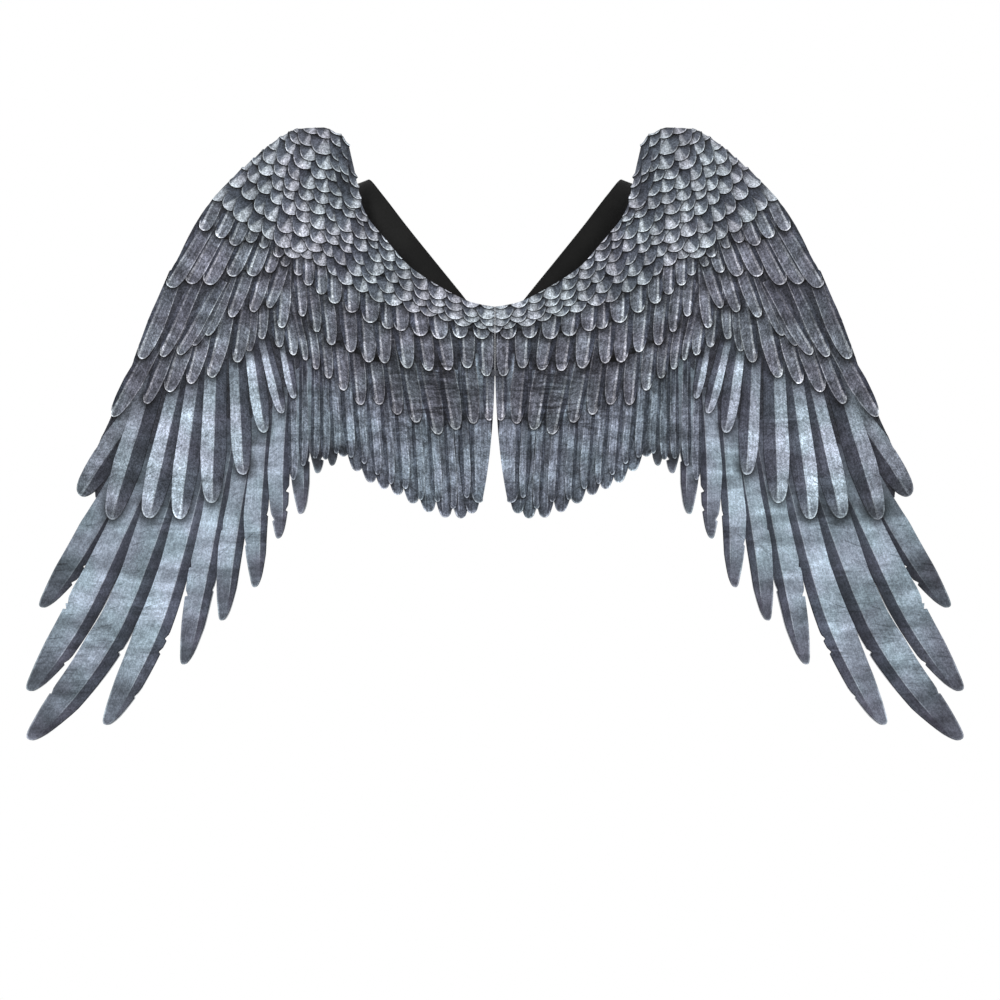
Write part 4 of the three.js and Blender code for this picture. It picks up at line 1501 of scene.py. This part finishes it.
def bar_tree(name, round_ends):
    """Geometry nodes that lay bars along a path, each turned as the path's attributes say.
    Every second bar may slant the other way."""
    tree = bpy.data.node_groups.new(name, "GeometryNodeTree")
    face = tree.interface
    face.new_socket("Geometry", in_out="INPUT", socket_type="NodeSocketGeometry")
    for label in ("Pitch", "Bar Length", "Bar Width", "Bar Height", "Slant"):
        face.new_socket(label, in_out="INPUT", socket_type="NodeSocketFloat")
    face.new_socket("Material", in_out="INPUT", socket_type="NodeSocketMaterial")
    face.new_socket("Geometry", in_out="OUTPUT", socket_type="NodeSocketGeometry")
    given = tree.nodes.new("NodeGroupInput").outputs
    result = tree.nodes.new("NodeGroupOutput")
    path = add_node(tree, "GeometryNodeMeshToCurve", {"Mesh": given["Geometry"]}).outputs[0]
    inputs = {"Curve": path, "Length": given["Pitch"]}
    spaced = add_node(tree, "GeometryNodeResampleCurve", inputs, mode="LENGTH")
    turn = None
    for attribute, axis, pivot in (("bar_along", "X", "AUTO"), ("bar_face", "Z", "X")):
        inputs = {"Name": attribute}
        settings = {"data_type": "FLOAT_VECTOR"}
        named = add_node(tree, "GeometryNodeInputNamedAttribute", inputs, **settings)
        inputs = {"Vector": named.outputs[0]}
        if turn is not None:
            inputs["Rotation"] = turn
        settings = {"axis": axis, "pivot_axis": pivot}
        turn = add_node(tree, "FunctionNodeAlignRotationToVector", inputs, **settings).outputs[0]
    index = add_node(tree, "GeometryNodeInputIndex").outputs[0]
    odd = calc(tree, "MODULO", index, 2.0)
    side = calc(tree, "MULTIPLY_ADD", odd, 2.0, -1.0)
    slant = calc(tree, "MULTIPLY", side, given["Slant"])
    spin = add_node(tree, "ShaderNodeCombineXYZ", {2: slant}).outputs[0]
    spin = add_node(tree, "FunctionNodeEulerToRotation", {0: spin}).outputs[0]
    settings = {"rotation_space": "LOCAL"}
    turn = add_node(tree, "FunctionNodeRotateRotation", {0: turn, 1: spin}, **settings).outputs[0]
    half_width = calc(tree, "MULTIPLY", given["Bar Width"], 0.5)
    half_height = calc(tree, "MULTIPLY", given["Bar Height"], 0.5)
    if round_ends:
        inputs = {"Segments": 8, "Rings": 5, "Radius": 1.0}
        bar = add_node(tree, "GeometryNodeMeshUVSphere", inputs).outputs["Mesh"]
        long = calc(tree, "MULTIPLY", given["Bar Length"], 0.5)
    else:
        inputs = {"Vertices": 8, "Radius": 1.0, "Depth": 1.0}
        bar = add_node(tree, "GeometryNodeMeshCylinder", inputs).outputs["Mesh"]
        long = given["Bar Length"]
    size = add_node(tree, "ShaderNodeCombineXYZ", {0: half_height, 1: half_width, 2: long}).outputs[0]
    inputs = {"Geometry": bar, "Rotation": (0.0, math.pi / 2, 0.0), "Scale": size}
    bar = add_node(tree, "GeometryNodeTransform", inputs).outputs[0]
    inputs = {"Points": spaced.outputs[0], "Instance": bar, "Rotation": turn}
    bars = add_node(tree, "GeometryNodeInstanceOnPoints", inputs).outputs[0]
    bars = add_node(tree, "GeometryNodeRealizeInstances", {0: bars}).outputs[0]
    bars = add_node(tree, "GeometryNodeSetMaterial", {"Geometry": bars, "Material": given["Material"]})
    tree.links.new(bars.outputs[0], result.inputs[0])
    return tree


def bars_on_paths(name, paths, tree, sizes, material):
    """A plain mesh of bars laid along paths. A path is its points in metres, the
    directions of the bars and the way the bars face."""
    mesh = bpy.data.meshes.new(name)
    points = np.concatenate([path[0] for path in paths])
    edges, first = [], 0
    for path_points, _, _ in paths:
        edges += [(first + i, first + i + 1) for i in range(len(path_points) - 1)]
        first += len(path_points)
    mesh.from_pydata(points.tolist(), edges, [])
    for attribute, column in (("bar_along", 1), ("bar_face", 2)):
        values = np.concatenate([path[column] for path in paths]).astype(np.float32)
        layer = mesh.attributes.new(attribute, "FLOAT_VECTOR", "POINT")
        layer.data.foreach_set("vector", values.ravel())
    bars = add_object(name, mesh)
    modifier = bars.modifiers.new("bars", "NODES")
    modifier.node_group = tree
    values = dict(sizes, Material=material)
    for socket in tree.interface.items_tree:
        if socket.in_out == "INPUT" and socket.name in values:
            modifier[socket.identifier] = values[socket.name]
    bpy.context.view_layer.update()
    evaluated = bars.evaluated_get(bpy.context.evaluated_depsgraph_get())
    plain = bpy.data.meshes.new_from_object(evaluated)
    bars.modifiers.remove(modifier)
    bars.data = plain
    plain.name = name
    plain.polygons.foreach_set("use_smooth", np.ones(len(plain.polygons), bool))
    return bars


elastic = elastic_material()
rib_tree = bar_tree("ribs_across", False)
ring_size = len(BAND_SECTION)
section = np.array(BAND_SECTION) * (STRAP_WIDTH / 2, STRAP_WALL / 2)
band_points = (
    strap_line[:, None]
    + section[None, :, :1] * strap_widths[:, None]
    + section[None, :, 1:] * strap_faces[:, None]
).reshape(-1, 3)
last_ring = BAND_STEPS * ring_size
for side, hand in (("left", -1), ("right", 1)):
    faces = [tuple(range(ring_size)), tuple(reversed(range(last_ring, last_ring + ring_size)))]
    for step in range(BAND_STEPS):
        for corner in range(ring_size):
            a, b = step * ring_size + corner, step * ring_size + (corner + 1) % ring_size
            faces.append((a, a + ring_size, b + ring_size, b))
    if hand < 0:
        faces = [tuple(reversed(face)) for face in faces]
    band_mesh = bpy.data.meshes.new(f"strap_band_{side}")
    band_mesh.from_pydata((band_points * (hand, 1, 1) * MM).tolist(), [], faces)
    band_mesh.polygons.foreach_set("use_smooth", np.ones(len(faces), bool))
    band_mesh.set_sharp_from_angle(angle=math.radians(50))
    band_mesh.materials.append(elastic)
    band = add_object(f"strap_band_{side}", band_mesh)
    mirror = np.array([hand, 1, 1])
    path = (strap_line * mirror * MM, strap_widths * mirror, strap_faces * mirror)
    sizes = {
        "Pitch": RIB_PITCH * MM,
        "Bar Length": STRAP_WIDTH * MM,
        "Bar Width": RIB_WIDTH * MM,
        "Bar Height": STRAP_WALL * MM,
        "Slant": 0.0,
    }
    ribs = bars_on_paths(f"strap_ribs_{side}", [path], rib_tree, sizes, elastic)
    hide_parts(f"strap_{side}")
    for piece in (band, ribs):
        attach(piece, "root")

# The stitches
# Dark polyester thread. A zigzag seam joins the wings down the middle and ends in a bar
# tack, and each strap end is held by a sewn box with a cross in it.

# Millimetres; the slant in degrees. The bar tack starts TACK_RISE above the seam's end.
THREAD = 0.55
STITCH_LENGTH = 2.6
STITCH_PITCH = 3.1
STITCH_LIFT = 0.15
ZIGZAG_PITCH = 1.7
ZIGZAG_LENGTH = 5.4
ZIGZAG_SLANT = 16
TACK_RISE = 2.0
TACK_HEIGHT = 5.0
TACK_PITCH = 0.6
TACK_LENGTH = 8.0
TACK_POINTS = 6


def thread_material(name, dark, pale):
    """Twisted thread."""
    material, tree, shader, cloth = new_material(name)
    twist = grain(tree, cloth, 2600.0, 1.0)
    colour = mixed(tree, fade(tree, twist, 0.35, 0.65), dark, pale)
    tree.links.new(colour, shader.inputs["Base Color"])
    add_bump(tree, shader, 0.4, 0.0001, twist)
    shader.inputs["Roughness"].default_value = 0.55
    shader.inputs["Sheen Weight"].default_value = 0.2
    return material


stitch_tree = bar_tree("stitches_along", True)
black_thread = thread_material("black_thread", shade(22, 22, 23), shade(50, 50, 52))
grey_thread = thread_material("grey_thread", shade(46, 48, 56), shade(84, 88, 98))

seam_ups = np.arange(-1.5, -SEAM_LENGTH, -0.5)
seam_outs = np.full(len(seam_ups), 0.6)
seam_height = np.full(len(seam_ups), CLOTH_WALL + 4 * ROW_STEP + 1.0)
seam_top = worn(seam_outs, seam_ups, seam_height) * (0, 1, 1)
level = np.tile([1.0, 0.0, 0.0], (len(seam_ups), 1))
outwards = np.tile([0.0, -1.0, 0.0], (len(seam_ups), 1))
sizes = {
    "Pitch": ZIGZAG_PITCH * MM,
    "Bar Length": ZIGZAG_LENGTH * MM,
    "Bar Width": THREAD * MM,
    "Bar Height": THREAD * MM,
    "Slant": math.radians(ZIGZAG_SLANT),
}
seam = bars_on_paths("seam_stitches", [(seam_top, level, outwards)], stitch_tree, sizes, grey_thread)
drops = np.linspace(0, TACK_HEIGHT * MM, TACK_POINTS)[:, None]
foot = seam_top[-1:] + np.array([[0, 0, TACK_RISE * MM]]) - np.array([[0, 0, 1]]) * drops
tack_path = (foot, level[:TACK_POINTS], outwards[:TACK_POINTS])
sizes = dict(sizes, Pitch=TACK_PITCH * MM, Slant=0.0)
sizes["Bar Length"] = TACK_LENGTH * MM
tack = bars_on_paths("seam_bar_tack", [tack_path], stitch_tree, sizes, grey_thread)
for piece in (seam, tack):
    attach(piece, "root")

# A sewn box: its corners, and the order they are sewn in. Columns: along the strap and
# across it, in mm from the middle of the box.
BOX_SEAM = [
    *((-11, -11), (-11, 11), (11, 11), (11, -11)),
    *((-11, -11), (11, 11), (11, -11), (-11, 11)),
]
BOX_FROM_END = 15.0
strap_run = arc_lengths(strap_line)


def on_strap(along, across, through):
    """A point on the strap, in mm along it, across it and off its middle."""
    parts = [
        np.stack([np.interp(along, strap_run, values[:, i]) for i in range(3)], -1)
        for values in (strap_line, strap_widths, strap_faces)
    ]
    return parts[0] + parts[1] * across + parts[2] * through, parts[2]


for side, hand in (("left", -1), ("right", 1)):
    mirror = np.array([hand, 1, 1])
    paths = []
    for middle in (BOX_FROM_END, strap_run[-1] - BOX_FROM_END):
        _, face = on_strap(middle, 0.0, 0.0)
        off = (STRAP_WALL / 2 + STITCH_LIFT) * (1 if face[1] > 0 else -1)
        for start, end in zip(BOX_SEAM[:-1], BOX_SEAM[1:]):
            shares = np.linspace(0, 1, 12)[:, None]
            legs = np.array(start) + shares * (np.array(end, float) - np.array(start))
            found = [on_strap(middle + along, across, off) for along, across in legs]
            points = np.array([point for point, _ in found]) * mirror * MM
            faces = np.array([face for _, face in found]) * mirror * np.sign(off)
            run = np.gradient(points, axis=0)
            run /= np.linalg.norm(run, axis=1)[:, None]
            paths.append((points, run, faces))
    sizes = {
        "Pitch": STITCH_PITCH * MM,
        "Bar Length": STITCH_LENGTH * MM,
        "Bar Width": THREAD * MM,
        "Bar Height": THREAD * MM,
        "Slant": 0.0,
    }
    stitches = bars_on_paths(f"strap_stitches_{side}", paths, stitch_tree, sizes, black_thread)
    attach(stitches, "root")

# The room
# A white room with soft light from all sides, a large soft lamp behind the camera's left
# shoulder, and a plain pale floor well below the wings.

FLOOR_LEVEL = -1.15
FLOOR_CORNERS = [(-1.7, -1.6), (1.7, -1.6), (1.7, 1.7), (-1.7, 1.7)]
floor_mesh = bpy.data.meshes.new("floor")
floor_mesh.from_pydata([(x, y, FLOOR_LEVEL) for x, y in FLOOR_CORNERS], [], [(0, 1, 2, 3)])
floor = add_object("floor", floor_mesh)
floor_material = bpy.data.materials.new("floor_paint")
floor_material.use_nodes = True
floor_paint = floor_material.node_tree.nodes["Principled BSDF"].inputs
floor_paint["Base Color"].default_value = (0.88, 0.88, 0.88, 1)
floor_paint["Roughness"].default_value = 0.9
floor_mesh.materials.append(floor_material)

room = bpy.data.worlds.new("room")
room.use_nodes = True
sky = add_node(room.node_tree, "ShaderNodeTexCoord").outputs["Generated"]
sky = add_node(room.node_tree, "ShaderNodeSeparateXYZ", {0: sky}).outputs
wall_light = fade(room.node_tree, sky[1], -0.35, 0.6, 0.66, 1.0)
room.node_tree.links.new(wall_light, room.node_tree.nodes["Background"].inputs["Strength"])
room.node_tree.nodes["Background"].inputs["Color"].default_value = (1.0, 1.0, 1.0, 1.0)
bpy.context.scene.world = room
bpy.context.scene.view_settings.view_transform = "Standard"


def soft_lamp(name, location, aim, size, power):
    """A large square lamp."""
    data = bpy.data.lights.new(name, "AREA")
    data.size = size
    data.energy = power
    lamp = add_object(name, data)
    lamp.location = location
    lamp.rotation_euler = (Vector(aim) - Vector(location)).to_track_quat("-Z", "Y").to_euler()


soft_lamp("key_lamp", (-1.6, -2.4, 1.9), (0, 0, -0.1), 1.0, 46.0)
soft_lamp("fill_lamp", (1.9, -2.2, 0.6), (0, 0, -0.1), 1.4, 14.0)
